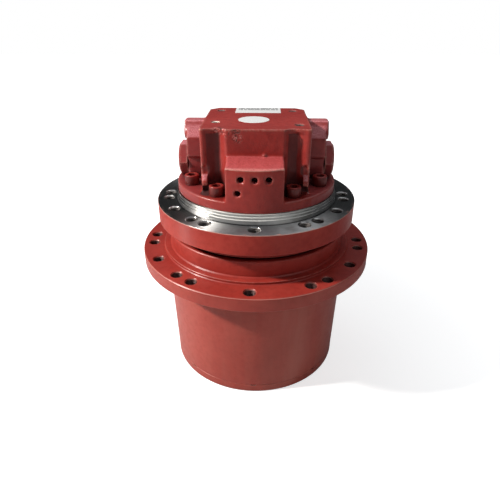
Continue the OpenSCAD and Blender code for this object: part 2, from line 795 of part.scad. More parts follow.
module output_sun_gear() {
    color("slategray") translate([0, 0, carrier_1_z]) difference() {
        rotate(sun_phase(planet_angles[0], sun_2_teeth, planet_2_teeth))
            spur_gear(sun_2_teeth, planet_2_z + planet_2_h - carrier_1_z);
        translate([0, 0, -cut]) cylinder(r = drive_shaft_r + 1, h = spindle_z);
    }
}

// ---- First planetary stage, whose carrier drives the second sun ----

module input_carrier() {
    color("gray") translate([0, 0, carrier_1_z]) difference() {
        cylinder(r = centre_1 + pin_1_d / 2 + 5, h = carrier_1_t);
        for (a = planet_angles) rotate(a + 180 / planets) translate([centre_1 + 30, 0, -cut])
            cylinder(r = 26, h = carrier_1_t + 2 * cut);
        at_planets(centre_1) translate([0, 0, -cut])
            cylinder(r = pin_1_d / 2 + fit_gap / 2, h = carrier_1_t + 2 * cut);
        translate([0, 0, -cut]) rotate(sun_phase(planet_angles[0], sun_2_teeth, planet_2_teeth))
            linear_extrude(carrier_1_t + 2 * cut) polygon(gear_points(sun_2_teeth,
                gear_module * (sun_2_teeth / 2 - dedendum) + fit_gap,
                sun_2_tip_r + fit_gap, flank_play - fit_gap));
    }
}

module input_pins() {
    pin_z = circlip_z - 1.2;
    groove_r = pin_1_d / 2 - 1.1;
    color("silver") at_planets(centre_1) rotate_extrude() polygon([
        [0, pin_z], [pin_1_d / 2 - 0.5, pin_z], [pin_1_d / 2, pin_z + 0.5],
        [pin_1_d / 2, circlip_z - 0.1], [groove_r, circlip_z - 0.1],
        [groove_r, circlip_z + circlip_t], [pin_1_d / 2, circlip_z + circlip_t],
        [pin_1_d / 2, carrier_1_z + carrier_1_t], [0, carrier_1_z + carrier_1_t]
    ]);
}

module input_needles() {
    color("silver") translate([0, 0, planet_1_z + 1])
        needle_set(centre_1, needle_1_ring_r, needle_1_d, planet_1_h - 2);
}

module input_washers() {
    color("peru") washer_set(centre_1, pin_1_d, 8, circlip_z + circlip_t,
        planet_1_z + planet_1_h + side_gap);
}

module pin_circlips() {
    color("dimgray") translate([0, 0, circlip_z]) at_planets(centre_1) rotate(30)
        rotate_extrude(angle = 300) translate([pin_1_d / 2 - 1, 0]) square([3.4, circlip_t - 0.05]);
}

module input_planet(i) {
    color("steelblue") translate([0, 0, planet_1_z])
        planet(i, centre_1, planet_1_teeth, planet_1_bore_r, planet_1_h);
}

module drive_gear() {
    teeth_z = planet_1_z - 0.5;
    color("slategray") {
        translate([0, 0, pad_top + side_gap]) cylinder(r = drive_shaft_r, h = teeth_z - pad_top);
        translate([0, 0, teeth_z]) rotate(sun_phase(planet_angles[0], sun_1_teeth, planet_1_teeth))
            spur_gear(sun_1_teeth, planet_1_h + 1);
        translate([0, 0, teeth_z]) cylinder(r = drive_shaft_r, h = drive_end_z - teeth_z);
    }
}

// ---- Motor ----

module spline_shape(outer, depth) {
    polygon([for (i = [0:spline_teeth - 1], k = [0:3])
        polar(k == 0 || k == 3 ? outer - depth : outer,
            (i + [-0.28, -0.16, 0.16, 0.28][k]) * 360 / spline_teeth)]);
}

module motor_shaft() {
    foot_z = spindle_z + 2;
    tip_z = cover_face_z - 1;
    color("lightsteelblue") difference() {
        union() {
            translate([0, 0, foot_z]) cylinder(r = shaft_r, h = floor_z + 1 - foot_z);
            translate([0, 0, floor_z]) linear_extrude(tip_z - floor_z) spline_shape(spline_r, 1.6);
            translate([0, 0, tip_z - cut]) cylinder(r = shaft_tip_r, h = 16);
        }
        translate([0, 0, foot_z - cut])
            cylinder(r = drive_shaft_r + fit_gap, h = drive_end_z + 1 - foot_z + cut);
    }
}

module shaft_inner_race() {
    color("silver") translate([0, 0, spindle_z + shaft_lip_h])
        ring(shaft_r + 3.4, shaft_r + fit_gap, shaft_bearing_w);
}

module shaft_bearing() {
    race_r = shaft_seat_r - fit_gap;
    gap = race_r - 4 - (shaft_r + 3.4);
    color("silver") translate([0, 0, spindle_z + shaft_lip_h]) {
        ring(race_r, race_r - 4, shaft_bearing_w);
        translate([0, 0, 1.5]) around(16, shaft_r + 3.4 + gap / 2)
            cylinder(r = gap / 2 - run_gap, h = shaft_bearing_w - 3);
    }
}

module shaft_seal() {
    color("black") translate([0, 0, spindle_z + shaft_lip_h + shaft_bearing_w + 0.3])
        rotate_extrude() polygon([
            [shaft_r + run_gap, 0], [shaft_r + 3, 0], [shaft_r + 3, 2], [shaft_seat_r - 3, 2],
            [shaft_seat_r - 3, 0], [shaft_seat_r - fit_gap, 0], [shaft_seat_r - fit_gap, 7],
            [shaft_r + 2, 7], [shaft_r + run_gap, 4]
        ]);
}

module swash_plate() {
    plate_r = motor_bore_r - 8;
    trim = 2 * plate_r;
    color("slategray") difference() {
        intersection() {
            translate([0, 0, swash_z]) cylinder(r = plate_r, h = plate_r);
            translate([0, 0, swash_top_z]) rotate([swash_tilt, 0, 0])
                translate([-trim, -trim, -trim]) cube([2 * trim, 2 * trim, trim]);
        }
        translate([0, 0, floor_z]) cylinder(r = shaft_r + 4.5, h = trim);
        for (side = [-1, 1]) translate([side * swash_ball_x, 0, swash_z])
            sphere(r = swash_ball_r + fit_gap);
    }
}

module swash_balls() {
    color("lightgray") for (side = [-1, 1]) translate([side * swash_ball_x, 0, swash_z])
        sphere(r = swash_ball_r);
}

module speed_piston() {
    color("silver") translate([0, speed_piston_y, floor_z - speed_piston_h])
        cylinder(r = speed_piston_r, h = speed_piston_h + side_gap);
}

// Ball joints of the pistons, each at its own height on the tilted plate
module at_pistons() {
    for (i = [0:pistons_n - 1]) let (p = polar(piston_ring_r, i * 360 / pistons_n))
        translate([p[0], p[1], stroke_z + p[1] * tan(swash_tilt)]) children();
}

module slippers() {
    color("peru") at_pistons() rotate([swash_tilt, 0, 0]) difference() {
        union() {
            translate([0, 0, -slipper_h]) cylinder(r = slipper_pad_r, h = slipper_pad_t);
            translate([0, 0, -slipper_h]) cylinder(r = slipper_neck_r, h = slipper_h + 1.5);
        }
        sphere(r = piston_ball_r + fit_gap, $fn = 48);
    }
}

module slipper_retainer() {
    color("gray") translate([0, 0, stroke_z]) rotate([swash_tilt, 0, 0])
        translate([0, 0, slipper_pad_t - slipper_h + 0.1]) difference() {
            ring(piston_ring_r + slipper_pad_r + 3.4, retainer_ball_r + 2 * run_gap, retainer_t);
            for (i = [0:pistons_n - 1]) let (p = polar(piston_ring_r, i * 360 / pistons_n))
                translate([p[0], p[1] / cos(swash_tilt), -cut])
                    cylinder(r = slipper_neck_r + 2 * run_gap, h = retainer_t + 2 * cut);
        }
}

module retainer_ball() {
    color("silver") difference() {
        union() {
            translate([0, 0, stroke_z]) intersection() {
                sphere(r = retainer_ball_r);
                cylinder(r = retainer_ball_r + cut, h = 14, center = true);
            }
            translate([0, 0, stroke_z]) cylinder(r = retainer_ball_r - 1.4, h = block_z - stroke_z);
        }
        translate([0, 0, floor_z]) cylinder(r = shaft_bore_r, h = block_z);
    }
}

module pistons() {
    neck = 3;
    taper = 9;
    color("silver") at_pistons() difference() {
        union() {
            sphere(r = piston_ball_r, $fn = 48);
            cylinder(r = 3.8, h = neck + cut);
            translate([0, 0, neck]) cylinder(r1 = 3.8, r2 = piston_d / 2, h = taper - neck);
            translate([0, 0, taper]) cylinder(d = piston_d, h = piston_len - taper);
        }
        translate([0, 0, 20]) cylinder(r = piston_d / 2 - 3, h = piston_len);
    }
}

module cylinder_block() {
    end_wall = 6;
    color("darkgray") translate([0, 0, block_z]) difference() {
        cylinder(d = block_d, h = block_h);
        translate([0, 0, -cut]) cylinder(r = shaft_bore_r, h = block_h + 2 * cut);
        around(pistons_n, piston_ring_r) {
            translate([0, 0, -cut]) cylinder(r = piston_d / 2 + 0.1, h = block_h - end_wall + cut);
            cylinder(r = 4, h = block_h + cut);
        }
    }
}

module valve_plate() {
    color("goldenrod") translate([0, 0, valve_plate_z]) difference() {
        ring(block_d / 2 + 1, shaft_bore_r + 1, valve_plate_t);
        for (a = [-70, 110]) rotate(a) translate([0, 0, -cut]) rotate_extrude(angle = 140)
            translate([piston_ring_r - 4, 0]) square([8, valve_plate_t + 2 * cut]);
    }
}

module brake_friction_discs() {
    color("saddlebrown") for (i = [0:friction_discs - 1])
        translate([0, 0, brake_z + (2 * i + 1) * brake_disc_t])
            ring(plate_bore_r - 5, block_d / 2 + 2 * run_gap, brake_disc_t);
}

module brake_steel_plates() {
    color("silver") for (i = [0:friction_discs])
        translate([0, 0, brake_z + 2 * i * brake_disc_t])
            ring(plate_bore_r - side_gap, block_d / 2 + 4, brake_disc_t);
}

module brake_piston() {
    low_r = plate_bore_r - fit_gap;
    high_r = brake_bore_r - fit_gap;
    color("darkgray") difference() {
        rotate_extrude() polygon([
            [brake_piston_inner_r, brake_piston_z], [low_r, brake_piston_z], [low_r, brake_step_z],
            [high_r, brake_step_z], [high_r, brake_piston_top],
            [brake_piston_inner_r, brake_piston_top]
        ]);
        for (groove = [[low_r, low_ring_z], [high_r, high_ring_z]]) rotate_extrude()
            translate([groove[0] - ring_groove_d, groove[1] - ring_groove_w / 2])
                square([ring_groove_d + cut, ring_groove_w]);
        translate([0, 0, brake_piston_top - brake_pocket_h]) around(brake_spring_n, brake_spring_r)
            cylinder(r = brake_pocket_r, h = brake_pocket_h + cut);
    }
}

module brake_piston_rings() {
    color("black") {
        translate([0, 0, low_ring_z])
            o_ring(plate_bore_r - fit_gap - ring_groove_d / 2, small_cord_d);
        translate([0, 0, high_ring_z])
            o_ring(brake_bore_r - fit_gap - ring_groove_d / 2, small_cord_d);
    }
}

module brake_springs() {
    low = brake_piston_top - brake_pocket_h;
    color("silver") translate([0, 0, low]) around(brake_spring_n, brake_spring_r)
        coil_spring(brake_coil_r, brake_wire_d, spigot_z - low, 4);
}

// ---- Motor cover with its valve ----

// Right half of the block's plan: a groove runs up from the front screw, between the middle
// and the corner pillar, and the corner at the back is cut
module half_plan(depth) {
    half = block_w / 2;
    nose = nose_w / 2;
    pillar = 2 - block_front;
    polygon([
        [0, -block_front], [nose, -block_front], [nose + 0.7 * depth, 0.7 * depth - block_front],
        [nose + 8, 0.92 * depth - block_front], [nose + 13.5, depth - block_front],
        [half - 6.5, pillar + edge], [half - 5, pillar], [half - 1.5, pillar], [half, pillar + 1.5],
        [half, block_back - corner_cut], [half - corner_cut, block_back], [0, block_back]
    ]);
}

module front_nose() {
    ledge_z = foot_top_z + nose_h;
    intersection() {
        translate([nose_w / 2, 0, 0]) rotate([90, 0, -90]) linear_extrude(nose_w) polygon([
            [block_front - 12, pilot_top_z + cut], [foot_r + 5, pilot_top_z + cut], [foot_r + 5, ledge_z],
            [foot_r, ledge_z], [block_front, ledge_z + ledge_rise], [block_front - 12, ledge_z + ledge_rise]
        ]);
        translate([0, 0, pilot_top_z]) cylinder(r = foot_r, h = block_top_h + cover_foot_t);
    }
}

// Round valve boss with the block and the lug above it, on one side
module side_wing() {
    start = block_w / 2 - 10;
    reach = boss_reach - start;
    shoulder_z = foot_top_z + 54;
    top_z = shoulder_z + 18;
    translate([start, 0, spool_z]) rotate([0, 90, 0]) cylinder(d = boss_d, h = reach);
    translate([start, 0, 0]) rotate([90, 0, 90]) {
        linear_extrude(reach - edge) polygon([
            [-25, spool_z + 8], [25, spool_z + 8], [25, shoulder_z], [8, top_z - 1], [-8, top_z - 1],
            [-25, shoulder_z]
        ]);
        linear_extrude(reach + lug_reach) polygon([
            [-13, shoulder_z - 4], [13, shoulder_z - 4], [17, shoulder_z + 4], [9, top_z], [-9, top_z],
            [-17, shoulder_z + 4]
        ]);
    }
    translate([start, -17, foot_top_z - cut]) cube([reach - 4, 34, spool_h]);
}

// Block at the back that holds the two main ports and the drain port
module port_nose() {
    intersection() {
        translate([-port_nose_w / 2, block_back - 5, pilot_top_z + cut])
            cube([port_nose_w, foot_r, cover_foot_t + 48]);
        translate([0, 0, pilot_top_z]) cylinder(r = foot_r, h = block_top_h);
    }
}

module at_ports() {
    for (side = [-1, 1]) translate([side * port_x, foot_r - 6, port_z])
        rotate([-90, 0, 0]) children();
}

module motor_cover() {
    low_ring_inner_r = brake_piston_inner_r;
    low_ring_outer_r = brake_bore_r - fit_gap;
    color("firebrick") difference() {
        union() {
            translate([0, 0, pilot_top_z]) cylinder(r = foot_r, h = cover_foot_t - edge);
            translate([0, 0, foot_top_z - edge]) cylinder(r1 = foot_r, r2 = foot_r - edge, h = edge);
            translate([0, 0, cover_face_z])
                cylinder(r = low_ring_outer_r, h = pilot_top_z - cover_face_z + cut);
            translate([0, 0, spigot_z])
                ring(low_ring_outer_r, low_ring_inner_r, cover_face_z - spigot_z + cut);
            difference() {
                for (m = [0, 1]) mirror([m, 0, 0]) {
                    translate([0, 0, foot_top_z - cut])
                        linear_extrude(block_top_h - top_plate_t + 2 * cut) half_plan(groove_depth);
                    translate([0, 0, block_top_z - top_plate_t])
                        linear_extrude(top_plate_t) half_plan(top_groove_depth);
                    side_wing();
                }
                // Pockets of the front and back screws, with sloping roofs
                for (side = [-1, 1], a = [screw_angles[0], screw_angles[3]]) rotate(front + side * a)
                    translate([screw_ring_r, 0, foot_top_z]) {
                        cylinder(r = pocket_r, h = pocket_h);
                        translate([0, 0, pocket_h - fit_gap])
                            cylinder(r1 = pocket_r, r2 = tool_room_r, h = pocket_roof_h);
                    }
            }
            front_nose();
            port_nose();
        }
        // Seats and tool room of the eight screws
        translate([0, 0, foot_top_z]) at_cover_bolts() {
            cylinder(r = tool_room_r, h = block_top_h + cut);
            translate([0, 0, -cover_foot_t - cut])
                cylinder(r = main_screw_d / 2 + 0.5, h = cover_foot_t + 2 * cut);
        }
        // Seat of the shaft's upper bearing
        translate([0, 0, cover_face_z - cut])
            cylinder(r = cover_bearing_r, h = cover_bearing_h + 3 + cut);
        // Bore of the valve spool, and the threads of its caps
        translate([-boss_reach - cut, 0, spool_z]) rotate([0, 90, 0])
            cylinder(r = spool_d / 2 + run_gap / 2, h = 2 * (boss_reach + cut));
        for (side = [-1, 1]) translate([side * boss_reach, 0, spool_z]) rotate([0, side * 90, 0])
            translate([0, 0, -cap_stem - 0.5])
                cylinder(r = cap_inner_r + fit_gap, h = cap_stem + 0.5 + cut);
        // Main ports
        at_ports() cylinder(r = port_d / 2 + 6, h = 20);
        at_ports() threaded_hole(port_d, 26, edge);
        // Gauge holes in the nose
        for (p = [[-15.5, 27], [0, 27], [15.5, 27], [-19, 11]])
            translate([p[0], -foot_r, foot_top_z + p[1]]) rotate([90, 0, 0])
                translate([0, 0, -gauge_hole_depth])
                    cylinder(d = gauge_hole_d, h = 2 * gauge_hole_depth);
        // Lifting threads in the top
        for (p = [[-48, -30], [50, -44], [47, 40], [-47, 40]]) translate([p[0], p[1], block_top_z])
            threaded_hole(10, 20, edge / 2);
        // Groove of the O-ring on the spindle's face
        translate([0, 0, pilot_top_z - 0.5]) rotate_extrude()
            translate([face_ring_r - face_groove_w / 2, 0]) square([face_groove_w, face_groove_h + 0.5]);
    }
}

module motor_cover_o_ring() {
    color("black") translate([0, 0, pilot_top_z + face_groove_h / 2]) o_ring(face_ring_r, face_ring_d);
}

module cover_bearing() {
    shell_r = cover_bearing_r - fit_gap;
    inner_r = shell_r - 1.4;
    needle_r = (inner_r - shaft_tip_r) / 2 - run_gap / 2;
    color("silver") translate([0, 0, cover_face_z + 0.5]) {
        ring(shell_r, inner_r, cover_bearing_h);
        translate([0, 0, 1]) around(18, (inner_r + shaft_tip_r) / 2)
            cylinder(r = needle_r, h = cover_bearing_h - 2, $fn = 24);
    }
}

module cover_bolts() {
    color("brown") translate([0, 0, foot_top_z]) at_cover_bolts()
        socket_screw(main_screw_d, main_screw_head_d, cover_foot_t + cover_grip);
}

module valve_spool() {
    land_r = spool_d / 2;
    neck_r = land_r - 4;
    tip_r = 6;
    tip = spool_end + 6;
    color("silver") translate([0, 0, spool_z]) rotate([0, 90, 0]) rotate_extrude() polygon([
        [0, -tip], [tip_r, -tip], [tip_r, -spool_end], [land_r, -spool_end],
        [land_r, -36], [neck_r, -34], [neck_r, -26], [land_r, -24],
        [land_r, -8], [neck_r, -6], [neck_r, 6], [land_r, 8],
        [land_r, 24], [neck_r, 26], [neck_r, 34], [land_r, 36],
        [land_r, spool_end], [tip_r, spool_end], [tip_r, tip], [0, tip]
    ]);
}

module spool_springs() {
    start = spool_end + spool_travel;
    color("silver") for (side = [-1, 1]) translate([side * start, 0, spool_z]) rotate([0, side * 90, 0])
        coil_spring(spool_coil_r, spool_wire_d, boss_reach - start, 4);
}

// Hex caps with a hollow threaded stem that takes the spool's spring
module spool_caps() {
    top_t = 2;
    color("firebrick") for (side = [-1, 1])
        translate([side * boss_reach, 0, spool_z]) rotate([0, side * 90, 0]) difference() {
            union() {
                rotate(90) cylinder(r = cap_af / 2 / cos(30), h = cap_hex_t - top_t, $fn = 6);
                translate([0, 0, cap_hex_t - top_t])
                    cylinder(r1 = cap_af / 2, r2 = cap_af / 2 - top_t, h = top_t);
                translate([0, 0, -cap_stem]) cylinder(r = cap_inner_r, h = cap_stem + cut);
            }
            translate([0, 0, -cap_stem - cut]) cylinder(r = cap_inner_r - 3.4, h = cap_stem + cut);
        }
}

hub();
ring_gear();
end_cover();
end_cover_screws();
end_cover_o_ring();
oil_plugs();
thrust_pad();
bearing_outer_races();
turning_seal_ring();
turning_seal_o_ring();
spindle();
bearing_nut();
bearing_inner_races();
bearing_balls();
bearing_cages();
fixed_seal_ring();
fixed_seal_o_ring();
output_carrier();
carrier_screws();
output_pins();
output_needles();
output_washers();
output_planet(0);  // output_planet_1
output_planet(1);  // output_planet_2
output_planet(2);  // output_planet_3
output_sun_gear();
input_carrier();
input_pins();
input_needles();
input_washers();
pin_circlips();
input_planet(0);  // input_planet_1
input_planet(1);  // input_planet_2
input_planet(2);  // input_planet_3
drive_gear();
motor_shaft();
shaft_inner_race();
shaft_bearing();
shaft_seal();
swash_plate();
swash_balls();
speed_piston();
slippers();
slipper_retainer();
retainer_ball();
pistons();
cylinder_block();
valve_plate();
brake_friction_discs();
brake_steel_plates();
brake_piston();
brake_piston_rings();
brake_springs();
motor_cover();
motor_cover_o_ring();
cover_bearing();
cover_bolts();
valve_spool();
spool_springs();
spool_caps();
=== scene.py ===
"""Looks of the track drive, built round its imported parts."""

import json
import math

import bmesh
import bpy
import numpy as np
from mathutils import Matrix, Vector, noise


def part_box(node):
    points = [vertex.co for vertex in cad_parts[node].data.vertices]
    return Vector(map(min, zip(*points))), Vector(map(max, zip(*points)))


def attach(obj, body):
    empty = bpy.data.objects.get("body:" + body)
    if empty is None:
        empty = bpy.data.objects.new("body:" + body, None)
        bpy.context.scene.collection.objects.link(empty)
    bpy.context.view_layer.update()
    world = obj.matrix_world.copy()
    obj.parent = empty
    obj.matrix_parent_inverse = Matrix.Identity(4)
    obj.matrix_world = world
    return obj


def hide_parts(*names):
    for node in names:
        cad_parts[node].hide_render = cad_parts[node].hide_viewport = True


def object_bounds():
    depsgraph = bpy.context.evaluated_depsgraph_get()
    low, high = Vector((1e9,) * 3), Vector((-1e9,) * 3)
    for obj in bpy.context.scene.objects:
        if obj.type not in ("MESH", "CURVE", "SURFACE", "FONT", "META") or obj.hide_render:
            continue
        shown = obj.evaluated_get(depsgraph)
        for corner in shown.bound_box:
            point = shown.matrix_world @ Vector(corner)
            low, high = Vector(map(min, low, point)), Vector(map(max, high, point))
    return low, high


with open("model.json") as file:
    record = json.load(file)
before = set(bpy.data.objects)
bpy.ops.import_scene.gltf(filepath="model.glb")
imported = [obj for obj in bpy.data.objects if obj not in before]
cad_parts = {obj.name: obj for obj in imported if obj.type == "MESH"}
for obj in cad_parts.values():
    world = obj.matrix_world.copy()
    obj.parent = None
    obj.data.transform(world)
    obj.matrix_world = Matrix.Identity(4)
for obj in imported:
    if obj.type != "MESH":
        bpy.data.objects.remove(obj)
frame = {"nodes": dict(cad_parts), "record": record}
cad_low, cad_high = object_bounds()
NODES = frame["nodes"]
MM = 0.001

# Tops of the turned steps above the frame face
STEP_TOPS = (0.006, 0.00925, 0.0125)
# Heights of the main faces: the motor's top, the frame face, the top of the motor's foot, and the sprocket flange
BLOCK_TOP = cad_high.z
SPINDLE_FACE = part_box("spindle")[1].z - STEP_TOPS[-1]
FOOT_TOP = SPINDLE_FACE + 0.025
SPROCKET_TOP = SPINDLE_FACE - 0.066
# Radius of the sprocket flange and of the circle its screws stand on
FLANGE_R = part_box("hub")[1].x
SPROCKET_SCREW_R = FLANGE_R - 0.014


def levels(base, *offsets):
    """Heights or radii at the given offsets from a base."""
    return tuple(base + offset for offset in offsets)


# ---- Shader trees -----------------------------------------------------------------------

class Tree:
    """Short ways to place and join shader nodes in one node tree."""

    def __init__(self, tree):
        self.tree = tree

    def add(self, kind, inputs=None, **settings):
        node = self.tree.nodes.new(kind)
        for name, value in settings.items():
            setattr(node, name, value)
        self.put_all(node, inputs or {})
        return node

    def put(self, socket, value):
        """Links a socket to another one, or sets its number, vector or colour."""
        if isinstance(value, bpy.types.NodeSocket):
            self.tree.links.new(value, socket)
        elif socket.type == "RGBA":
            socket.default_value = (*value, 1.0)
        else:
            socket.default_value = value

    def put_all(self, node, inputs):
        for name, value in inputs.items():
            self.put(node.inputs[name], value)

    def math(self, operation, a, b=0.0, clamp=False):
        node = self.add("ShaderNodeMath", {0: a, 1: b}, operation=operation, use_clamp=clamp)
        return node.outputs[0]

    def times(self, first, *others):
        """Product of the values."""
        for value in others:
            first = self.math("MULTIPLY", first, value)
        return first

    def scaled(self, value, factor, offset, clamp=False):
        """Value times factor, plus offset."""
        return self.math("ADD", self.math("MULTIPLY", value, factor), offset, clamp=clamp)

    def rest_of(self, share):
        """One minus the share."""
        return self.math("SUBTRACT", 1.0, share)

    def length(self, vector):
        return self.add("ShaderNodeVectorMath", {0: vector}, operation="LENGTH").outputs[1]

    def distance(self, a, b):
        return self.add("ShaderNodeVectorMath", {0: a, 1: b}, operation="DISTANCE").outputs[1]

    def step(self, value, low, high, out_low=0.0, out_high=1.0):
        """Smooth step from out_low at low to out_high at high."""
        inputs = {"Value": value, "From Min": low, "From Max": high, "To Min": out_low, "To Max": out_high}
        return self.add("ShaderNodeMapRange", inputs, interpolation_type="SMOOTHSTEP").outputs[0]

    def band(self, value, rise, fall):
        """One between two smooth steps, each given as its outer and its inner end."""
        return self.times(self.step(value, *rise), self.step(value, *fall))

    def mix(self, share, a, b):
        node = self.add("ShaderNodeMix", {"Factor": share}, data_type="RGBA", blend_type="MIX")
        self.put(node.inputs[6], a)
        self.put(node.inputs[7], b)
        return node.outputs[2]

    def lay(self, colour, tone, share, strength=None):
        """Colour with a tone laid over it by a share, times a strength if one is given."""
        return self.mix(share if strength is None else self.times(share, strength), colour, tone)

    def noise(self, vector, scale, detail=2.0, roughness=0.5):
        node = self.add("ShaderNodeTexNoise", {"Vector": vector, "Scale": scale,
                                               "Detail": detail, "Roughness": roughness})
        return node.outputs["Fac"]

    def place(self):
        """Position on the piece, in metres."""
        return self.add("ShaderNodeTexCoord").outputs["Object"]

    def normal(self):
        return self.add("ShaderNodeNewGeometry").outputs["Normal"]

    def split(self, vector):
        return self.add("ShaderNodeSeparateXYZ", {"Vector": vector}).outputs

    def flat(self, x, y):
        """Vector from the Z axis to the place."""
        return self.add("ShaderNodeCombineXYZ", {"X": x, "Y": y}).outputs[0]


def new_group(name, inputs, outputs):
    """Node group of plain numbers. Gives the tree, its inputs, and its output node's sockets."""
    group = bpy.data.node_groups.new(name, "ShaderNodeTree")
    for label, start in inputs.items():
        socket = group.interface.new_socket(name=label, in_out="INPUT", socket_type="NodeSocketFloat")
        socket.default_value = start
    for label in outputs:
        group.interface.new_socket(name=label, in_out="OUTPUT", socket_type="NodeSocketFloat")
    tree = Tree(group)
    return tree, tree.add("NodeGroupInput").outputs, tree.add("NodeGroupOutput").inputs


AO_RAYS = 6


def make_wear_and_shade():
    """Share of bare metal on outside edges, of dirt and painted shade in inside corners, and of painted shade in deep
    ones.
    """
    t, given, out = new_group("wear_and_shade", {"Reach": 0.002, "Amount": 0.5, "Depth": 0.014},
                              ("Worn", "Corner_dirt_and_shade", "Deep_shade"))
    inside = t.add("ShaderNodeAmbientOcclusion", {"Distance": given["Reach"]}, inside=True, samples=AO_RAYS)
    outside = t.add("ShaderNodeAmbientOcclusion", {"Distance": given["Depth"]}, samples=AO_RAYS)
    edge = t.rest_of(inside.outputs["AO"])
    broken = t.noise(t.place(), 260.0, 4.0, 0.65)
    worn = t.times(t.step(edge, 0.08, 0.5), t.step(broken, 0.25, 0.6))
    t.put(out["Worn"], t.math("MULTIPLY", worn, given["Amount"], clamp=True))
    # Darkening from ambient occlusion: dirt and painted shade in corners, painted shade in deep recesses
    t.put(out["Corner_dirt_and_shade"], t.step(outside.outputs["AO"], 0.86, 0.35))
    t.put(out["Deep_shade"], t.step(outside.outputs["AO"], 0.45, 0.12))
    return t.tree


def make_cast_skin():
    """Height in metres of a sand-cast surface under paint."""
    t, given, out = new_group("cast_skin", {"Coarse": 1.0, "Fine": 1.0}, ("Height",))
    lump_height, grain_height, pit_height = 0.00045, 0.00012, 0.00006
    place = t.place()
    lumps = t.times(t.noise(place, 130.0, 3.0, 0.55), lump_height)
    grain = t.times(t.noise(place, 900.0, 3.0, 0.6), grain_height)
    pits = t.times(t.step(t.noise(place, 420.0, 1.0, 0.4), 0.27, 0.36), pit_height)
    fine = t.times(t.math("ADD", grain, pits), given["Fine"])
    t.put(out["Height"], t.math("ADD", t.times(lumps, given["Coarse"]), fine))
    return t.tree


def make_turned_rings():
    """Tool marks of a lathe round the Z axis: height in metres and a brightness mask."""
    t, given, out = new_group("turned_rings", {"Pitch": 0.0006, "Depth": 0.000012}, ("Height", "Mask"))
    x, y, z = t.split(t.place())
    flat = t.flat(x, y)
    along = t.math("ADD", t.length(flat), z)
    tool = t.math("SINE", t.times(t.math("DIVIDE", along, given["Pitch"]), 2 * math.pi))
    line = t.add("ShaderNodeTexNoise", {"W": t.times(along, 900.0), "Scale": 1.0, "Detail": 3.0},
                 noise_dimensions="1D").outputs["Fac"]
    sweep = t.noise(flat, 22.0)
    t.put(out["Height"], t.times(t.math("ADD", tool, t.times(line, 3.0)), given["Depth"]))
    t.put(out["Mask"], t.times(line, t.math("ADD", sweep, 0.5)))
    return t.tree


def make_dust():
    """Share of settled dust, which lies on what faces up and collects in patches."""
    t, given, out = new_group("settled_dust", {"Amount": 0.5}, ("Dust",))
    place = t.place()
    up = t.step(t.split(t.normal())[2], 0.1, 0.95)
    patches = t.step(t.noise(place, 28.0, 5.0, 0.62), 0.38, 0.72)
    speck = t.step(t.noise(place, 1500.0, 2.0, 0.5), 0.62, 0.7)
    lying = t.times(up, t.math("ADD", t.times(patches, 0.7), t.times(speck, 0.3)))
    both = t.math("ADD", lying, t.times(speck, 0.12))
    t.put(out["Dust"], t.math("MULTIPLY", both, given["Amount"], clamp=True))
    return t.tree


WEAR_AND_SHADE = make_wear_and_shade()
CAST_SKIN = make_cast_skin()
TURNED_RINGS = make_turned_rings()
SETTLED_DUST = make_dust()


def use(tree, group, **inputs):
    """Places a node group in a material and gives its outputs."""
    node = tree.add("ShaderNodeGroup", node_tree=group)
    tree.put_all(node, {name.capitalize(): value for name, value in inputs.items()})
    return node.outputs


def new_material(name):
    """Material with one shader. Gives the material, its tree and the shader."""
    material = bpy.data.materials.new(name)
    material.use_nodes = True
    material.node_tree.nodes.clear()
    tree = Tree(material.node_tree)
    shader = tree.add("ShaderNodeBsdfPrincipled")
    tree.add("ShaderNodeOutputMaterial", {"Surface": shader.outputs[0]})
    return material, tree, shader


def bump(tree, shader, height):
    """Tilts the shader's normal by a height in metres."""
    node = tree.add("ShaderNodeBump", {"Height": height, "Strength": 1.0, "Distance": 1.0})
    tree.put(shader.inputs["Normal"], node.outputs[0])


# ---- Paint ------------------------------------------------------------------------------

# Tones of the red paint: the one that shows most, the faded one, and a dark one for random mottle and for painted shade
# in corners
MOTOR_REDS = ((0.30, 0.021, 0.016), (0.36, 0.032, 0.025), (0.15, 0.011, 0.009))
HUB_REDS = ((0.34, 0.030, 0.021), (0.41, 0.046, 0.033), (0.20, 0.016, 0.012))
# Threads' tones, darkened to paint the shade inside the sprocket holes
THREAD_REDS_IN_SHADE = ((0.06, 0.009, 0.008), (0.08, 0.012, 0.010), (0.03, 0.006, 0.006))
SCREW_UNDERCOAT = (0.075, 0.013, 0.011)
# What lies on the paint or shows where it is rubbed or gone, and tones for the painted sheen, bounce light and shade
# laid over it
DUST_COLOUR = (0.47, 0.17, 0.14)
RUBBED = (0.62, 0.33, 0.27)
# Bloom tones, partly a painted pink sheen of the sky
CHALK_AND_SHEEN = (0.74, 0.145, 0.155)
BLOOM_AND_SHEEN = (0.72, 0.27, 0.30)
HAZE = (0.20, 0.10, 0.12)
# Dust film, partly painted warm bounce light
FILM_AND_BOUNCE = (0.40, 0.100, 0.072)
FLAKE_PIT = (0.09, 0.022, 0.016)
FLAKE_LIP = (0.70, 0.21, 0.19)
GROOVE_SHADE = (0.075, 0.019, 0.019)
HOLE_DIRT_AND_SHADE = (0.045, 0.009, 0.008)
SOOT_AND_SHADE = (0.022, 0.010, 0.009)
PAINT_SPECULAR = 0.27

# Places of flaked paint on the motor, as x, y, z and reach in millimetres
FLAKES = ((-42, -64, 344, 10), (-33, -69, 340, 7), (-21, -70, 342, 7), (-20, -70, 334, 8), (-36, 44, 351, 8),
          (20, 42, 351, 7), (36, 0, 351, 9), (57, -68, 349, 4))
FLAKE_DEPTH = 0.0005
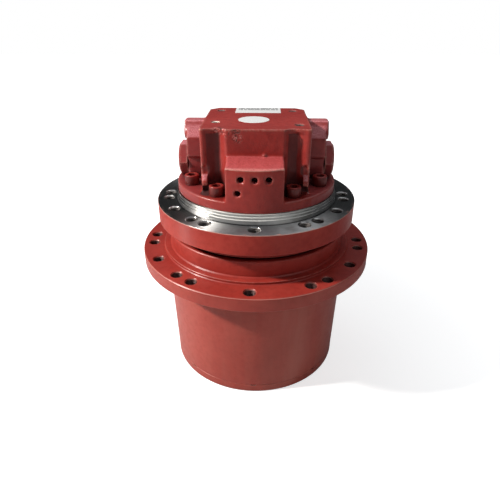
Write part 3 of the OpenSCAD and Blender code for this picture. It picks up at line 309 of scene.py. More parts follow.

# Where looks start and are full, in metres. Hub: height of the flange's face, its outer edge, how far across its ends
# darken, the radii and heights of its holes, darkened by dirt and painted shade, and the dust film with painted bounce
# light on its rim and on the barrel, growing across its shaded right side
FACE_Z, EDGE_R, ENDS_X = levels(SPROCKET_TOP, -0.0010, -0.0006), levels(FLANGE_R, -0.0008, -0.0005), (0.095, 0.150)
HOLES_R = levels(SPROCKET_SCREW_R, -0.0082, -0.0078), levels(SPROCKET_SCREW_R, 0.0082, 0.0078)
HOLES_Z = levels(SPROCKET_TOP, -0.0012, -0.0020), levels(SPROCKET_TOP, -0.0178, -0.0174)
RIM_Z, BARREL_Z, SHADED_X = levels(SPROCKET_TOP, -0.0008, -0.003), levels(SPROCKET_TOP, -0.019, -0.022), (-0.005, 0.060)
# Motor, where shade is painted: the upright grooves of its front, the pockets round the front screws, and the reach
# and middle of the painted shadow beside the left one
GROOVE_X, GROOVE_Y = ((0.0360, 0.0375), (0.0570, 0.0545)), ((-0.0688, -0.0660), (-0.052, -0.058))
GROOVE_TOP = levels(BLOCK_TOP, -0.0045, -0.0065)
POCKET_X, POCKET_Y = ((0.0335, 0.0350), (0.0655, 0.0640)), ((-0.0800, -0.0780), (-0.048, -0.052))
POCKET_Z = levels(FOOT_TOP, 0.0006, 0.0022), levels(FOOT_TOP, 0.0115, 0.0095)
POCKET_SHADOW_REACH, POCKET_SHADOW_MIDDLE = (0.0092, 0.0076), (-0.0565, -0.0690, FOOT_TOP + 0.0012)
# Motor: heights of the chalky bloom with its painted sky sheen, its wings and sides, and the nose's front edge, rubbed
# and with a painted highlight
CHALK_Z = levels(BLOCK_TOP, -0.002, -0.004), levels(FOOT_TOP, 0.005, 0.009)
WINGS_X, SIDES_X = (0.050, 0.060), (0.0645, 0.067)
NOSE_EDGE = SPINDLE_FACE + 0.0635
NOSE_Z, NOSE_Y = (levels(NOSE_EDGE, -0.0014, -0.0006), levels(NOSE_EDGE, 0.0012, 0.0006)), (-0.0935, -0.0955)


def paint_colour(tree, reds, wear_reach, wear, dust, coarse, fine, depth=0.014):
    """Red oxide paint over iron: its colour, roughness, metal share and height."""
    place = tree.place()
    plain, faded, dark = reds
    skin = use(tree, CAST_SKIN, coarse=coarse, fine=fine)
    worn = use(tree, WEAR_AND_SHADE, reach=wear_reach, amount=wear, depth=depth)
    lying = use(tree, SETTLED_DUST, amount=dust)["Dust"]
    clouds = tree.noise(place, 17.0, 4.0, 0.6)
    mottle = tree.noise(place, 140.0, 3.0, 0.6)
    colour = tree.mix(tree.step(clouds, 0.35, 0.68), plain, faded)
    colour = tree.lay(colour, dark, tree.step(mottle, 0.42, 0.72), 0.3)
    # Painted shade: dark red in corners and near black in deep recesses, partly dirt and soot
    colour = tree.lay(colour, dark, worn["Corner_dirt_and_shade"], 0.7)
    colour = tree.lay(colour, SOOT_AND_SHADE, worn["Deep_shade"], 0.85)
    colour = tree.lay(colour, DUST_COLOUR, lying, 0.4)
    colour = tree.lay(colour, RUBBED, worn["Worn"])
    rough = tree.scaled(lying, 0.3, tree.scaled(mottle, 0.22, 0.3), clamp=True)
    return colour, rough, tree.times(worn["Worn"], 0.3), skin["Height"]


def film_and_bounce_over(tree, colour):
    """Hub's paint with a brown dust film and painted warm bounce light, thicker towards the ground and on the
    shaded right side. The sprocket flange has dark ends, a rubbed outer edge, and holes darkened by dirt and painted
    shade."""
    x, y, z = tree.split(tree.place())
    radius = tree.length(tree.flat(x, y))
    face = tree.step(z, *FACE_Z)
    ends = tree.times(face, tree.step(tree.math("ABSOLUTE", x), *ENDS_X, 0.0, 0.5))
    colour = tree.lay(colour, HUB_REDS[2], ends)
    edge = tree.times(face, tree.step(radius, *EDGE_R))
    colour = tree.lay(colour, RUBBED, edge, 0.6)
    # Hole walls darkened: dirt and painted shade
    holes = tree.times(tree.band(radius, *HOLES_R), tree.band(z, *HOLES_Z), 0.8)
    streak = tree.add("ShaderNodeMapping", {"Vector": tree.place(), "Scale": (1.0, 1.0, 0.12)})
    uneven = tree.step(tree.noise(streak.outputs[0], 60.0, 4.0, 0.6), 0.25, 0.75, 0.55, 1.0)
    # Brown tint: dust film and painted warm bounce light from the ground, stronger on the shaded right side
    film = tree.math("ADD", tree.step(z, *RIM_Z, 0.0, 0.36), tree.step(z, *BARREL_Z, 0.0, 0.26))
    film = tree.times(film, tree.step(x, *SHADED_X, 0.8, 1.35), uneven)
    return tree.lay(tree.lay(colour, FILM_AND_BOUNCE, film), HOLE_DIRT_AND_SHADE, holes)


def shade_in_grooves(tree, colour, rough):
    """Painted shade in the two upright grooves of the motor's front, kept off the flanks that face the sun,
    and in the pockets round the front screws, with a painted shadow beside the left one."""
    x, y, z = tree.split(tree.place())
    facing = tree.split(tree.normal())[0]
    across = tree.math("ABSOLUTE", x)
    # Painted shade only on faces turned away from the sun
    away_from_sun = tree.step(facing, -0.45, -0.20, 0.0, 0.72)
    groove = tree.times(tree.times(tree.band(y, *GROOVE_Y), tree.band(across, *GROOVE_X)),
                        tree.times(tree.step(z, *GROOVE_TOP), away_from_sun))
    pocket = tree.times(tree.band(z, *POCKET_Z), tree.band(across, *POCKET_X), tree.band(y, *POCKET_Y))
    share = tree.math("MAXIMUM", groove, tree.times(pocket, 0.85))
    # Painted shadow of a pocket on the foot beside the left front screw
    stain = tree.step(tree.distance(tree.place(), POCKET_SHADOW_MIDDLE), *POCKET_SHADOW_REACH)
    share = tree.math("MAXIMUM", share, stain)
    return tree.lay(colour, GROOVE_SHADE, share), tree.scaled(share, 0.5, rough, clamp=True)


def flake_over(tree, colour, height):
    """Flaked paint round a few spots: its colour, and its height with pits."""
    place = tree.place()
    near = None
    for x, y, z, reach in FLAKES:
        away = tree.distance(place, (x * MM, y * MM, z * MM))
        spot = tree.step(away, reach * MM, 0.35 * reach * MM)
        near = spot if near is None else tree.math("MAXIMUM", near, spot)
    pit = tree.times(near, tree.step(tree.noise(place, 420.0), 0.50, 0.55))
    lip = tree.times(near, tree.step(tree.noise(place, 380.0), 0.45, 0.40))
    colour = tree.lay(tree.lay(colour, FLAKE_PIT, pit, 0.8), FLAKE_LIP, lip, 0.6)
    return colour, tree.math("SUBTRACT", height, tree.times(pit, FLAKE_DEPTH))


def chalk_and_sheen_over(tree, colour, rough):
    """Chalky bloom with a painted sheen of the sky where as-cast faces look up, below the machined top. The nose's
    front edge is rubbed and carries a painted highlight, and the sides are hazy."""
    x, y, z = tree.split(tree.place())
    across = tree.math("ABSOLUTE", x)
    up = tree.step(tree.split(tree.normal())[2], 0.45, 0.85)
    cast = tree.band(z, *CHALK_Z)
    wings = tree.step(across, *WINGS_X)
    crumbs = tree.step(tree.noise(tree.place(), 650.0, 3.0, 0.65), 0.34, 0.60, 0.35, 1.0)
    # Bloom and painted sky sheen on upward faces, stronger on the wings
    share = tree.times(tree.times(up, cast), tree.times(crumbs, tree.scaled(wings, 0.32, 0.48)))
    # Pale band on the nose's front lip: rubbed paint and a painted highlight
    nose = tree.times(tree.band(z, *NOSE_Z), tree.times(tree.step(y, *NOSE_Y), crumbs))
    colour = tree.lay(colour, RUBBED, nose, 0.6)
    colour = tree.lay(colour, HAZE, tree.step(across, *SIDES_X), 0.16)
    colour = tree.lay(colour, tree.mix(wings, CHALK_AND_SHEEN, BLOOM_AND_SHEEN), share)
    return colour, tree.scaled(share, 0.45, rough, clamp=True)


def make_paint(name, reds, wear_reach=0.0012, wear=0.35, dust=0.5, coarse=0.3, fine=0.6, coat=0.15,
               depth=0.014, cast=False):
    """Red paint, with the motor casting's painted shade, bloom with painted sheen, and flakes, or else the hub's dust
    film with painted bounce light.
    """
    material, tree, shader = new_material(name)
    colour, rough, metal, height = paint_colour(tree, reds, wear_reach, wear, dust, coarse, fine, depth)
    if cast:
        colour, rough = shade_in_grooves(tree, colour, rough)
        colour, rough = chalk_and_sheen_over(tree, colour, rough)
        colour, height = flake_over(tree, colour, height)
    else:
        colour = film_and_bounce_over(tree, colour)
    tree.put_all(shader, {"Base Color": colour, "Roughness": rough, "Metallic": metal,
                          "Specular IOR Level": PAINT_SPECULAR, "Coat Weight": coat, "Coat Roughness": 0.25})
    bump(tree, shader, height)
    return material


def make_screw_paint(name):
    """Black screws oversprayed with red, mostly from above."""
    material, tree, shader = new_material(name)
    colour, rough, metal, height = paint_colour(tree, MOTOR_REDS, wear_reach=0.0005, wear=0.15, dust=0.1,
                                                coarse=0.0, fine=0.4, depth=0.008)
    up = tree.split(tree.normal())[2]
    patch = tree.noise(tree.place(), 120.0, 3.0, 0.6)
    cover = tree.step(tree.scaled(patch, 1.4, up), 0.60, 1.35, 0.3, 0.85)
    tree.put_all(shader, {"Base Color": tree.mix(cover, SCREW_UNDERCOAT, colour),
                          "Roughness": rough, "Metallic": metal})
    bump(tree, shader, height)
    return material


# ---- Other finishes ---------------------------------------------------------------------

def make_steel(name, tone, rough, stain=0.4, metallic=0.95):
    """Bare machined steel with tool marks, stains, and dirt and painted shade in its corners."""
    material, tree, shader = new_material(name)
    rings = use(tree, TURNED_RINGS, pitch=0.0006, depth=0.000004)
    worn = use(tree, WEAR_AND_SHADE, reach=0.001, amount=0.8)
    blotch = tree.noise(tree.place(), 45.0, 5.0, 0.62)
    dark = tuple(0.5 * c for c in tone)
    bright = tuple(min(1.0, 1.5 * c) for c in tone)
    colour = tree.mix(rings["Mask"], tone, bright)
    colour = tree.lay(colour, dark, tree.step(blotch, 0.45, 0.7), stain)
    # Dirt and painted shade darken the corners
    colour = tree.lay(colour, SOOT_AND_SHADE, worn["Corner_dirt_and_shade"], 0.75)
    colour = tree.lay(colour, bright, worn["Worn"])
    tree.put_all(shader, {"Base Color": colour, "Metallic": metallic,
                          "Roughness": tree.scaled(blotch, 0.2, rough, clamp=True)})
    bump(tree, shader, rings["Height"])
    return material


def make_rubber(name):
    """Black rubber with a little dust."""
    material, tree, shader = new_material(name)
    black, grey, dust = (0.012, 0.012, 0.013), (0.03, 0.03, 0.032), (0.12, 0.11, 0.10)
    grain = tree.noise(tree.place(), 700.0, 3.0, 0.6)
    lying = use(tree, SETTLED_DUST, amount=0.4)["Dust"]
    tree.put_all(shader, {"Base Color": tree.lay(tree.mix(grain, black, grey), dust, lying),
                          "Roughness": tree.scaled(grain, 0.3, 0.5)})
    bump(tree, shader, tree.times(grain, 0.00005))
    return material


def make_fibre(name):
    """Friction lining: pressed fibre with bright specks."""
    material, tree, shader = new_material(name)
    dark, light, bright = (0.09, 0.055, 0.03), (0.22, 0.15, 0.09), (0.45, 0.33, 0.2)
    place = tree.place()
    fibre = tree.noise(place, 1100.0, 4.0, 0.7)
    speck = tree.step(tree.noise(place, 1900.0, 1.0), 0.66, 0.72)
    tree.put_all(shader, {"Base Color": tree.lay(tree.mix(fibre, dark, light), bright, speck),
                          "Roughness": tree.scaled(fibre, 0.2, 0.7)})
    bump(tree, shader, tree.times(fibre, 0.00008))
    return material


def make_paper(name):
    """Paper label with rows of blocks in place of text, and a few scuffs."""
    material, tree, shader = new_material(name)
    white, whiter, ink, scuffed = (0.93, 0.93, 0.92), (0.98, 0.98, 0.97), (0.07, 0.07, 0.08), (0.62, 0.52, 0.5)
    rows_per_metre, blocks_per_metre = 120.0, 420.0
    rows_y, rows_middle, rows_reach = ((0.041, 0.0415), (0.0575, 0.057)), 0.0015, (0.0265, 0.026)
    place = tree.place()
    fibre = tree.noise(place, 1400.0, 3.0, 0.6)
    scuff = tree.step(tree.noise(place, 160.0, 5.0, 0.7), 0.58, 0.78)
    x, y, z = tree.split(place)
    row = tree.times(y, rows_per_metre)
    line = tree.band(tree.math("FRACT", row), (0.20, 0.26), (0.80, 0.74))
    chop = tree.flat(tree.times(x, blocks_per_metre), tree.math("FLOOR", row))
    blocks = tree.step(tree.noise(chop, 1.0, 1.0), 0.40, 0.45)
    aside = tree.math("ABSOLUTE", tree.math("SUBTRACT", x, rows_middle))
    field = tree.times(tree.band(y, *rows_y), tree.step(aside, *rows_reach))
    ruled = tree.times(tree.times(line, blocks), tree.times(field, 0.9))
    colour = tree.lay(tree.mix(fibre, white, whiter), ink, ruled)
    tree.put_all(shader, {"Base Color": tree.lay(colour, scuffed, scuff, 0.3),
                          "Roughness": tree.scaled(scuff, 0.25, 0.35), "Coat Weight": 0.3})
    bump(tree, shader, tree.times(fibre, 0.00002))
    return material


# Tones of the spindle's turned steel, of what lies on it, and of its painted highlight and shade
STEEL_DIM, STEEL_BRIGHT, STEEL_WORN = (0.42, 0.415, 0.41), (0.82, 0.81, 0.80), (0.8, 0.78, 0.74)
LIP_HIGHLIGHT = (0.84, 0.83, 0.80)
FLAT_SHADE = (0.03, 0.03, 0.03)
OIL_STAIN = (0.10, 0.092, 0.08)
WALL_DIRT_AND_SHADE = (0.045, 0.038, 0.034)
# Turn that puts the highlight of the tool marks in place
HIGHLIGHT_TURN = 0.226
# Heights, radii and depths where the spindle's looks start and are full: the rubbed edge of the paint,
# the bare steel and how far down it goes inside the paint, the hole walls darkened by dirt and painted shade, and stray
# paint
RUBBED_Z, BARE_Z = levels(SPINDLE_FACE, -0.0011, -0.0007), levels(SPINDLE_FACE, -0.00035, -0.00005)
BARE_R, BARE_LOW = (0.1288, 0.1284), levels(SPINDLE_FACE, -0.0245, -0.024)
WALL_Z, STRAY_R = levels(SPINDLE_FACE, -0.0008, -0.0014), (0.1255, 0.1290)
# Heights of the flat face and of the steps above it, and how far to the front the steps have pale lips as a painted
# highlight
FLAT_Z, STEPS_Z, LIT_LIPS_Y = levels(SPINDLE_FACE, 0.0015, 0.0010), levels(SPINDLE_FACE, 0.0012, 0.0018), (-0.066, -0.096)
# How far the paint's edge runs up and down
PAINT_RUNS = 0.0005


def spindle_lip_highlights(tree, y, z):
    """Share of pale lip at the front of the turned steps, a painted highlight."""
    lips = tree.step(z, *STEPS_Z, 0.0, 0.3)
    for top in STEP_TOPS:
        edge = SPINDLE_FACE + top
        lip = tree.band(z, levels(edge, -0.0008, -0.0006), levels(edge, 0.0006, 0.0004))
        lips = tree.math("MAXIMUM", lips, lip)
    return tree.times(lips, tree.step(y, *LIT_LIPS_Y))


def make_spindle_finish():
    """Paint below, and bare turned steel on the frame face and the steps above it."""
    material, tree, shader = new_material("spindle_paint_and_steel")
    colour, rough, metal, height = paint_colour(tree, HUB_REDS, wear_reach=0.0012, wear=0.8, dust=0.15,
                                                coarse=0.15, fine=0.5)
    rings = use(tree, TURNED_RINGS, pitch=0.00055, depth=0.000004)
    worn = use(tree, WEAR_AND_SHADE, reach=0.0012, amount=0.8, depth=0.004)
    place = tree.place()
    x, y, z = tree.split(place)
    colour = tree.lay(colour, RUBBED, tree.step(z, *RUBBED_Z, 0.0, 0.6))
    flow = tree.noise(place, 210.0, 3.0, 0.6)
    over = tree.times(tree.step(flow, 0.5, 0.75), PAINT_RUNS)
    bare = tree.step(tree.math("ADD", z, over), *BARE_Z)
    radius = tree.length(tree.flat(x, y))
    within = tree.times(tree.step(radius, *BARE_R), tree.step(z, *BARE_LOW))
    wall = tree.times(within, tree.step(z, *WALL_Z))
    strays = tree.times(tree.step(radius, *STRAY_R), tree.step(flow, 0.60, 0.64))
    bare = tree.times(tree.math("MAXIMUM", bare, within), tree.rest_of(strays))
    blotch = tree.noise(place, 38.0, 5.0, 0.65)
    lips = spindle_lip_highlights(tree, y, z)
    steel = tree.mix(rings["Mask"], STEEL_DIM, STEEL_BRIGHT)
    steel = tree.lay(steel, FLAT_SHADE, tree.step(z, *FLAT_Z), 0.5)
    steel = tree.lay(steel, OIL_STAIN, tree.step(blotch, 0.46, 0.7), 0.45)
    # Dirt and painted shade darken the corners
    steel = tree.lay(steel, SOOT_AND_SHADE, worn["Corner_dirt_and_shade"], 0.45)
    steel = tree.lay(steel, STEEL_WORN, worn["Worn"])
    # Hole walls darkened by dirt and painted shade
    steel = tree.lay(steel, WALL_DIRT_AND_SHADE, wall)
    # Painted highlight: pale lips on the front of the steps
    steel = tree.lay(steel, LIP_HIGHLIGHT, lips)
    painted = tree.rest_of(bare)
    steel_rough = tree.scaled(blotch, 0.12, 0.31)
    matt = tree.math("MAXIMUM", tree.times(wall, 0.7), tree.times(lips, 0.65))
    tangent = tree.add("ShaderNodeTangent", direction_type="RADIAL", axis="Z")
    tree.put_all(shader, {
        "Base Color": tree.mix(bare, colour, steel),
        "Roughness": tree.math("ADD", tree.times(rough, painted), tree.times(steel_rough, bare)),
        "Metallic": tree.math("MAXIMUM", metal, tree.times(bare, tree.rest_of(matt))),
        "Anisotropic": 0.95, "Anisotropic Rotation": HIGHLIGHT_TURN, "Tangent": tangent.outputs[0],
        "Specular IOR Level": PAINT_SPECULAR})
    bump(tree, shader, tree.math("ADD", tree.times(height, painted), tree.times(rings["Height"], bare)))
    return material


FINISH = {
    "hub_paint": make_paint("hub_paint", HUB_REDS, wear=0.9, dust=0.12, coarse=0.12, fine=0.45, coat=0.08),
    "motor_paint": make_paint("motor_paint", MOTOR_REDS, wear_reach=0.003, wear=0.8, dust=0.14, coarse=0.8,
                              fine=0.9, coat=0.25, depth=0.022, cast=True),
    "screw_paint": make_screw_paint("screw_paint"),
    "spindle_paint": make_spindle_finish(),
    "black_screws": make_steel("black_oxide", (0.05, 0.05, 0.055), 0.4, metallic=0.6),
    "rubber": make_rubber("nitrile_rubber"),
    "bearing_steel": make_steel("bearing_steel", (0.62, 0.62, 0.63), 0.12, stain=0.1),
    "cage_brass": make_steel("brass", (0.62, 0.44, 0.18), 0.25, stain=0.25),
    "seal_iron": make_steel("seal_iron", (0.33, 0.33, 0.34), 0.25, stain=0.2),
    "gear_steel": make_steel("gear_steel", (0.40, 0.41, 0.43), 0.22, stain=0.3),
    "carrier_iron": make_steel("turned_iron", (0.25, 0.25, 0.26), 0.4, stain=0.3, metallic=0.8),
    "ground_steel": make_steel("ground_steel", (0.58, 0.58, 0.60), 0.15, stain=0.12),
    "bronze": make_steel("bronze", (0.50, 0.29, 0.12), 0.3, stain=0.35),
    "friction": make_fibre("friction_fibre"),
    "thread_steel": make_steel("thread_steel", (0.10, 0.09, 0.085), 0.5, stain=0.6, metallic=0.6),
    # Pale thread: painted highlight of the lit side of one lifting hole
    "lit_thread": make_steel("lit_thread", (0.80, 0.72, 0.58), 0.4, stain=0.2, metallic=0.25),
    # Thread paint darkened as painted shade in the holes
    "thread_paint": make_paint("thread_paint", THREAD_REDS_IN_SHADE, wear=0.2, dust=0.1, coat=0.0, depth=0.006),
    "paper": make_paper("label_paper"),
}

slot_of = {part["node"]: part["material_slot"] for part in frame["record"]["subparts"]}
for name, node in NODES.items():
    node.data.materials.clear()
    node.data.materials.append(FINISH[slot_of[name]])


# ---- Pieces -----------------------------------------------------------------------------

def add_object(name, data):
    """New object in the scene from a mesh, a light's or a camera's data."""
    thing = bpy.data.objects.new(name, data)
    bpy.context.scene.collection.objects.link(thing)
    return thing


def new_mesh(name, points, faces=()):
    mesh = bpy.data.meshes.new(name)
    mesh.from_pydata(points, [], faces)
    return mesh


def face_outwards(mesh):
    """Turns the faces of a closed mesh outwards."""
    work = bmesh.new()
    work.from_mesh(mesh)
    bmesh.ops.recalc_face_normals(work, faces=work.faces)
    work.to_mesh(mesh)
    work.free()


def welded_copy(node, name):
    """Copy of a CAD node's mesh with its seams joined."""
    mesh = NODES[node].data.copy()
    mesh.name = name
    work = bmesh.new()
    work.from_mesh(mesh)
    bmesh.ops.remove_doubles(work, verts=work.verts, dist=1e-6)
    work.to_mesh(mesh)
    work.free()
    return mesh


def bake(piece):
    """Applies the piece's modifiers to its mesh."""
    graph = bpy.context.evaluated_depsgraph_get()
    mesh = bpy.data.meshes.new_from_object(piece.evaluated_get(graph))
    old = piece.data
    piece.modifiers.clear()
    piece.data = mesh
    bpy.data.meshes.remove(old)
    return mesh


def stacked_rings(name, rings):
    """Closed mesh through rings of points, all with the same count, and a fan at each end."""
    count = len(rings[0])
    points = [p for ring in rings for p in ring]
    faces = []
    for i in range(len(rings) - 1):
        for j in range(count):
            k = (j + 1) % count
            faces.append((i * count + j, i * count + k, (i + 1) * count + k, (i + 1) * count + j))
    for ring, last in ((0, False), (len(rings) - 1, True)):
        middle = len(points)
        points.append(tuple(sum((Vector(p) for p in rings[ring]), Vector()) / count))
        for j in range(count):
            a, b = ring * count + j, ring * count + (j + 1) % count
            faces.append((a, b, middle) if last else (b, a, middle))
    return new_mesh(name, points, faces)


def screw_mesh(name, d, head_d, upside_down=False):
    """Socket head screw with its seat at z = 0: knurled head, hex socket, short shank. The two
    diameters are in millimetres, the mesh in metres."""
    count, ridges, sixth = 96, 32, math.pi / 3
    turns = [2 * math.pi * i / count for i in range(count)]
    head_r, top, shank_r, socket, knurl = head_d / 2 * MM, d * MM, 0.48 * d * MM, 0.8 * d * MM, 0.35 * MM

    def loop(z, reach):
        return [(r * math.cos(a), r * math.sin(a), z) for r, a in zip(reach, turns)]

    def ring(z, radius, depth=0.0):
        return loop(z, [radius - depth * (0.5 + 0.5 * math.cos(ridges * a)) for a in turns])

    def hexagon(z, across):
        return loop(z, [across / 2 / math.cos((a % sixth) - sixth / 2) for a in turns])

    rings = [ring(-0.5 * top, shank_r), ring(0.0, shank_r), ring(0.0, head_r - 0.5 * MM),
             ring(0.03 * top, head_r - 0.1 * MM, knurl), ring(0.78 * top, head_r, knurl),
             ring(0.82 * top, head_r - 0.15 * MM), ring(0.93 * top, head_r - 0.25 * MM),
             ring(0.98 * top, head_r - 0.6 * MM), ring(top, head_r - 1.1 * MM),
             ring(top, 0.56 * socket + 0.4 * MM), hexagon(0.965 * top, socket), hexagon(0.45 * top, socket)]
    mesh = stacked_rings(name, rings)
    if upside_down:
        mesh.transform(Matrix.Rotation(math.pi, 4, "X"))
    return mesh


def thread_mesh(name, radius, pitch, depth, start):
    """Thread ridge of a hole as a closed strip, winding downwards from z = -start. Radius, pitch,
    depth and start are in millimetres, the mesh in metres."""
    steps, overlap = 24, 0.05
    last = int((depth - start) / pitch * steps)
    rise, crest = pitch * MM, radius - 0.62 * pitch * 0.8
    points, faces = [], []
    for i in range(last + 1):
        a, z = 2 * math.pi * i / steps, -(start * MM + rise * i / steps)
        for r, dz in ((radius + overlap, 0.42), (crest, 0.0), (radius + overlap, -0.42)):
            points.append((r * MM * math.cos(a), r * MM * math.sin(a), z + dz * rise))
    for i in range(last):
        for j in range(3):
            k = (j + 1) % 3
            faces.append((3 * i + j, 3 * i + 3 + j, 3 * i + 3 + k, 3 * i + k))
    faces += [(0, 1, 2), (3 * last + 2, 3 * last + 1, 3 * last)]
    mesh = new_mesh(name, points, faces)
    face_outwards(mesh)
    return mesh


def make_scatter():
    """Tree that puts a part at every point and turns each by chance about Z."""
    group = bpy.data.node_groups.new("part_at_points", "GeometryNodeTree")
    for label, kind in (("Geometry", "Geometry"), ("Part", "Object"), ("Finish", "Material"),
                        ("Turn", "Float"), ("Seed", "Int")):
        group.interface.new_socket(name=label, in_out="INPUT", socket_type="NodeSocket" + kind)
    group.interface.new_socket(name="Geometry", in_out="OUTPUT", socket_type="NodeSocketGeometry")
    nodes = group.nodes
    given, out = nodes.new("NodeGroupInput"), nodes.new("NodeGroupOutput")
    part = nodes.new("GeometryNodeObjectInfo")
    chance = nodes.new("FunctionNodeRandomValue")
    chance.data_type = "FLOAT"
    spin = nodes.new("ShaderNodeCombineXYZ")
    place = nodes.new("GeometryNodeInstanceOnPoints")
    real = nodes.new("GeometryNodeRealizeInstances")
    paint = nodes.new("GeometryNodeSetMaterial")
    for start, end in ((given.outputs["Part"], part.inputs["Object"]),
                       (given.outputs["Turn"], chance.inputs[3]),
                       (given.outputs["Seed"], chance.inputs["Seed"]),
                       (chance.outputs[1], spin.inputs["Z"]),
                       (given.outputs["Geometry"], place.inputs["Points"]),
                       (part.outputs["Geometry"], place.inputs["Instance"]),
                       (spin.outputs[0], place.inputs["Rotation"]),
                       (place.outputs[0], real.inputs[0]),
                       (real.outputs[0], paint.inputs[0]),
                       (given.outputs["Finish"], paint.inputs["Material"]),
                       (paint.outputs[0], out.inputs[0])):
        group.links.new(start, end)
    return group


SCATTER = make_scatter()
SHARP_ANGLE = math.radians(38)


def scatter(name, part_mesh, places, body, finish, turn=0.0, seed=1):
    """One mesh that holds the part at every place, in metres."""
    part = add_object(name + "_part", part_mesh)
    piece = add_object(name, new_mesh(name, places))
    modifier = piece.modifiers.new("scatter", "NODES")
    modifier.node_group = SCATTER
    values = {"Part": part, "Finish": finish, "Turn": turn, "Seed": seed}
    for socket in SCATTER.interface.items_tree:
        if socket.in_out == "INPUT" and socket.name in values:
            modifier[socket.identifier] = values[socket.name]
    mesh = bake(piece)
    bpy.data.objects.remove(part)
    mesh.shade_smooth()
    mesh.set_sharp_from_angle(angle=SHARP_ANGLE)
    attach(piece, body)
    return piece


def round_place(radius, angle, z):
    """Point at a radius in millimetres and an angle in degrees counted from the front."""
    a = math.radians(angle - 90)
    return (radius * MM * math.cos(a), radius * MM * math.sin(a), z)


# ---- Motor casting ----------------------------------------------------------------------

def smooth_points(points, edges, rounds, share):
    """Laplacian smoothing, weaker where share is small."""
    count = np.bincount(edges.ravel(), minlength=len(points)).astype(float)[:, None]
    for _ in range(rounds):
        total = np.zeros_like(points)
        np.add.at(total, edges[:, 0], points[edges[:, 1]])
        np.add.at(total, edges[:, 1], points[edges[:, 0]])
        points += share * 0.5 * (total / np.maximum(count, 1) - points)
    return points


def combine(piece, meshes, operation):
    """Adds closed meshes to a piece, or cuts them out of it."""
    for i, mesh in enumerate(meshes):
        face_outwards(mesh)
        cutter = add_object(f"cutter_{i}", mesh)
        cut = piece.modifiers.new("cut", "BOOLEAN")
        cut.operation, cut.solver, cut.object = operation, "EXACT", cutter
        bake(piece)
        bpy.data.objects.remove(cutter)


def prism(name, outline, ends, place):
    """Closed mesh through the outline at both ends, where place turns an end and a pair into a point."""
    return stacked_rings(name, [[place(end, *pair) for pair in outline] for end in ends])


# Outlines on the casting in millimetres, each pair a place along Y or X and a height above the foot
BULGE = ((-62.0, 21.5), (-66.5, 21.5), (-72.5, 17.8), (-74.2, 14.6), (-73.2, 9.6), (-62.0, 9.6))
HOUSE = ((-54.5, 21.5), (-54.5, 30.8), (-58.3, 35.0), (-62.6, 30.2), (-67.5, 29.0), (-67.5, 21.5))
RECESS = ((64.5, 3.0), (90.0, 3.0), (90.0, 30.3), (64.5, 30.3))
# Undercut's heights above the foot and radii there, in millimetres
UNDERCUT = ((0.1, 6.8), (7.6, 6.8), (9.2, 5.4), (10.0, 3.0))
# Ends of the bulge along X, of the recess along Y, and the undercut's axis, in metres
BULGE_ENDS, RECESS_ENDS, UNDERCUT_X, UNDERCUT_Y = (0.0548, 0.0622), (-0.030, -0.0212), 0.0570, -0.0690
# Ends of the flat cut along Y, each with its slope, and the place in millimetres where the slope starts
CUT_ENDS, CUT_FROM = ((-0.080, 0.0), (-0.0662, 0.30)), 64.0


def casting_forms():
    """Bulge at the foot of each front pillar; then the undercut below it, the flat cut above it, and
    the recess below each wing's shoulder."""
    def height(z):
        return FOOT_TOP + z * MM

    turns = [2 * math.pi * i / 24 for i in range(24)]
    added, cut = [], []
    for side in (-1, 1):
        added.append(prism("bulge", BULGE, BULGE_ENDS, lambda x, y, z: (side * x, y * MM, height(z))))
        rings = [[(side * UNDERCUT_X + r * MM * math.cos(a), UNDERCUT_Y + r * MM * math.sin(a), height(z))
                  for a in turns] for z, r in UNDERCUT]
        cut.append(stacked_rings("undercut", rings))
        cut.append(prism("flat_cut", HOUSE, CUT_ENDS, lambda end, x, z: (
            -side * x * MM, end[0] + end[1] * (x + CUT_FROM) * MM, height(z))))
        cut.append(prism("recess", RECESS, RECESS_ENDS, lambda y, x, z: (side * x * MM, y, height(z))))
    return added, cut


# Size of the casting's voxels, how often its corners are smoothed, and how much of its faces is kept
VOXEL, SMOOTH_ROUNDS, KEPT_FACES = 0.00125, 7, 0.42
# Radius inside which the casting is rough, and depth of its unevenness there and on machined faces
ROUGH_R, UNEVEN, UNEVEN_MACHINED = 0.1015, 0.00022, 0.00004
# Small lump of cast iron where the nose meets the block, and its height, in millimetres
LUMP, LUMP_HEIGHT = (10.5, -69.5, 314.5), 2.3


def read_rows(items, attribute, width, kind=float):
    """Attribute of a mesh's items as an array with a row for each."""
    values = np.empty(len(items) * width, dtype=kind)
    items.foreach_get(attribute, values)
    return values.reshape(-1, width)


def move_points(mesh, points):
    mesh.vertices.foreach_set("co", points.ravel())
    mesh.update()


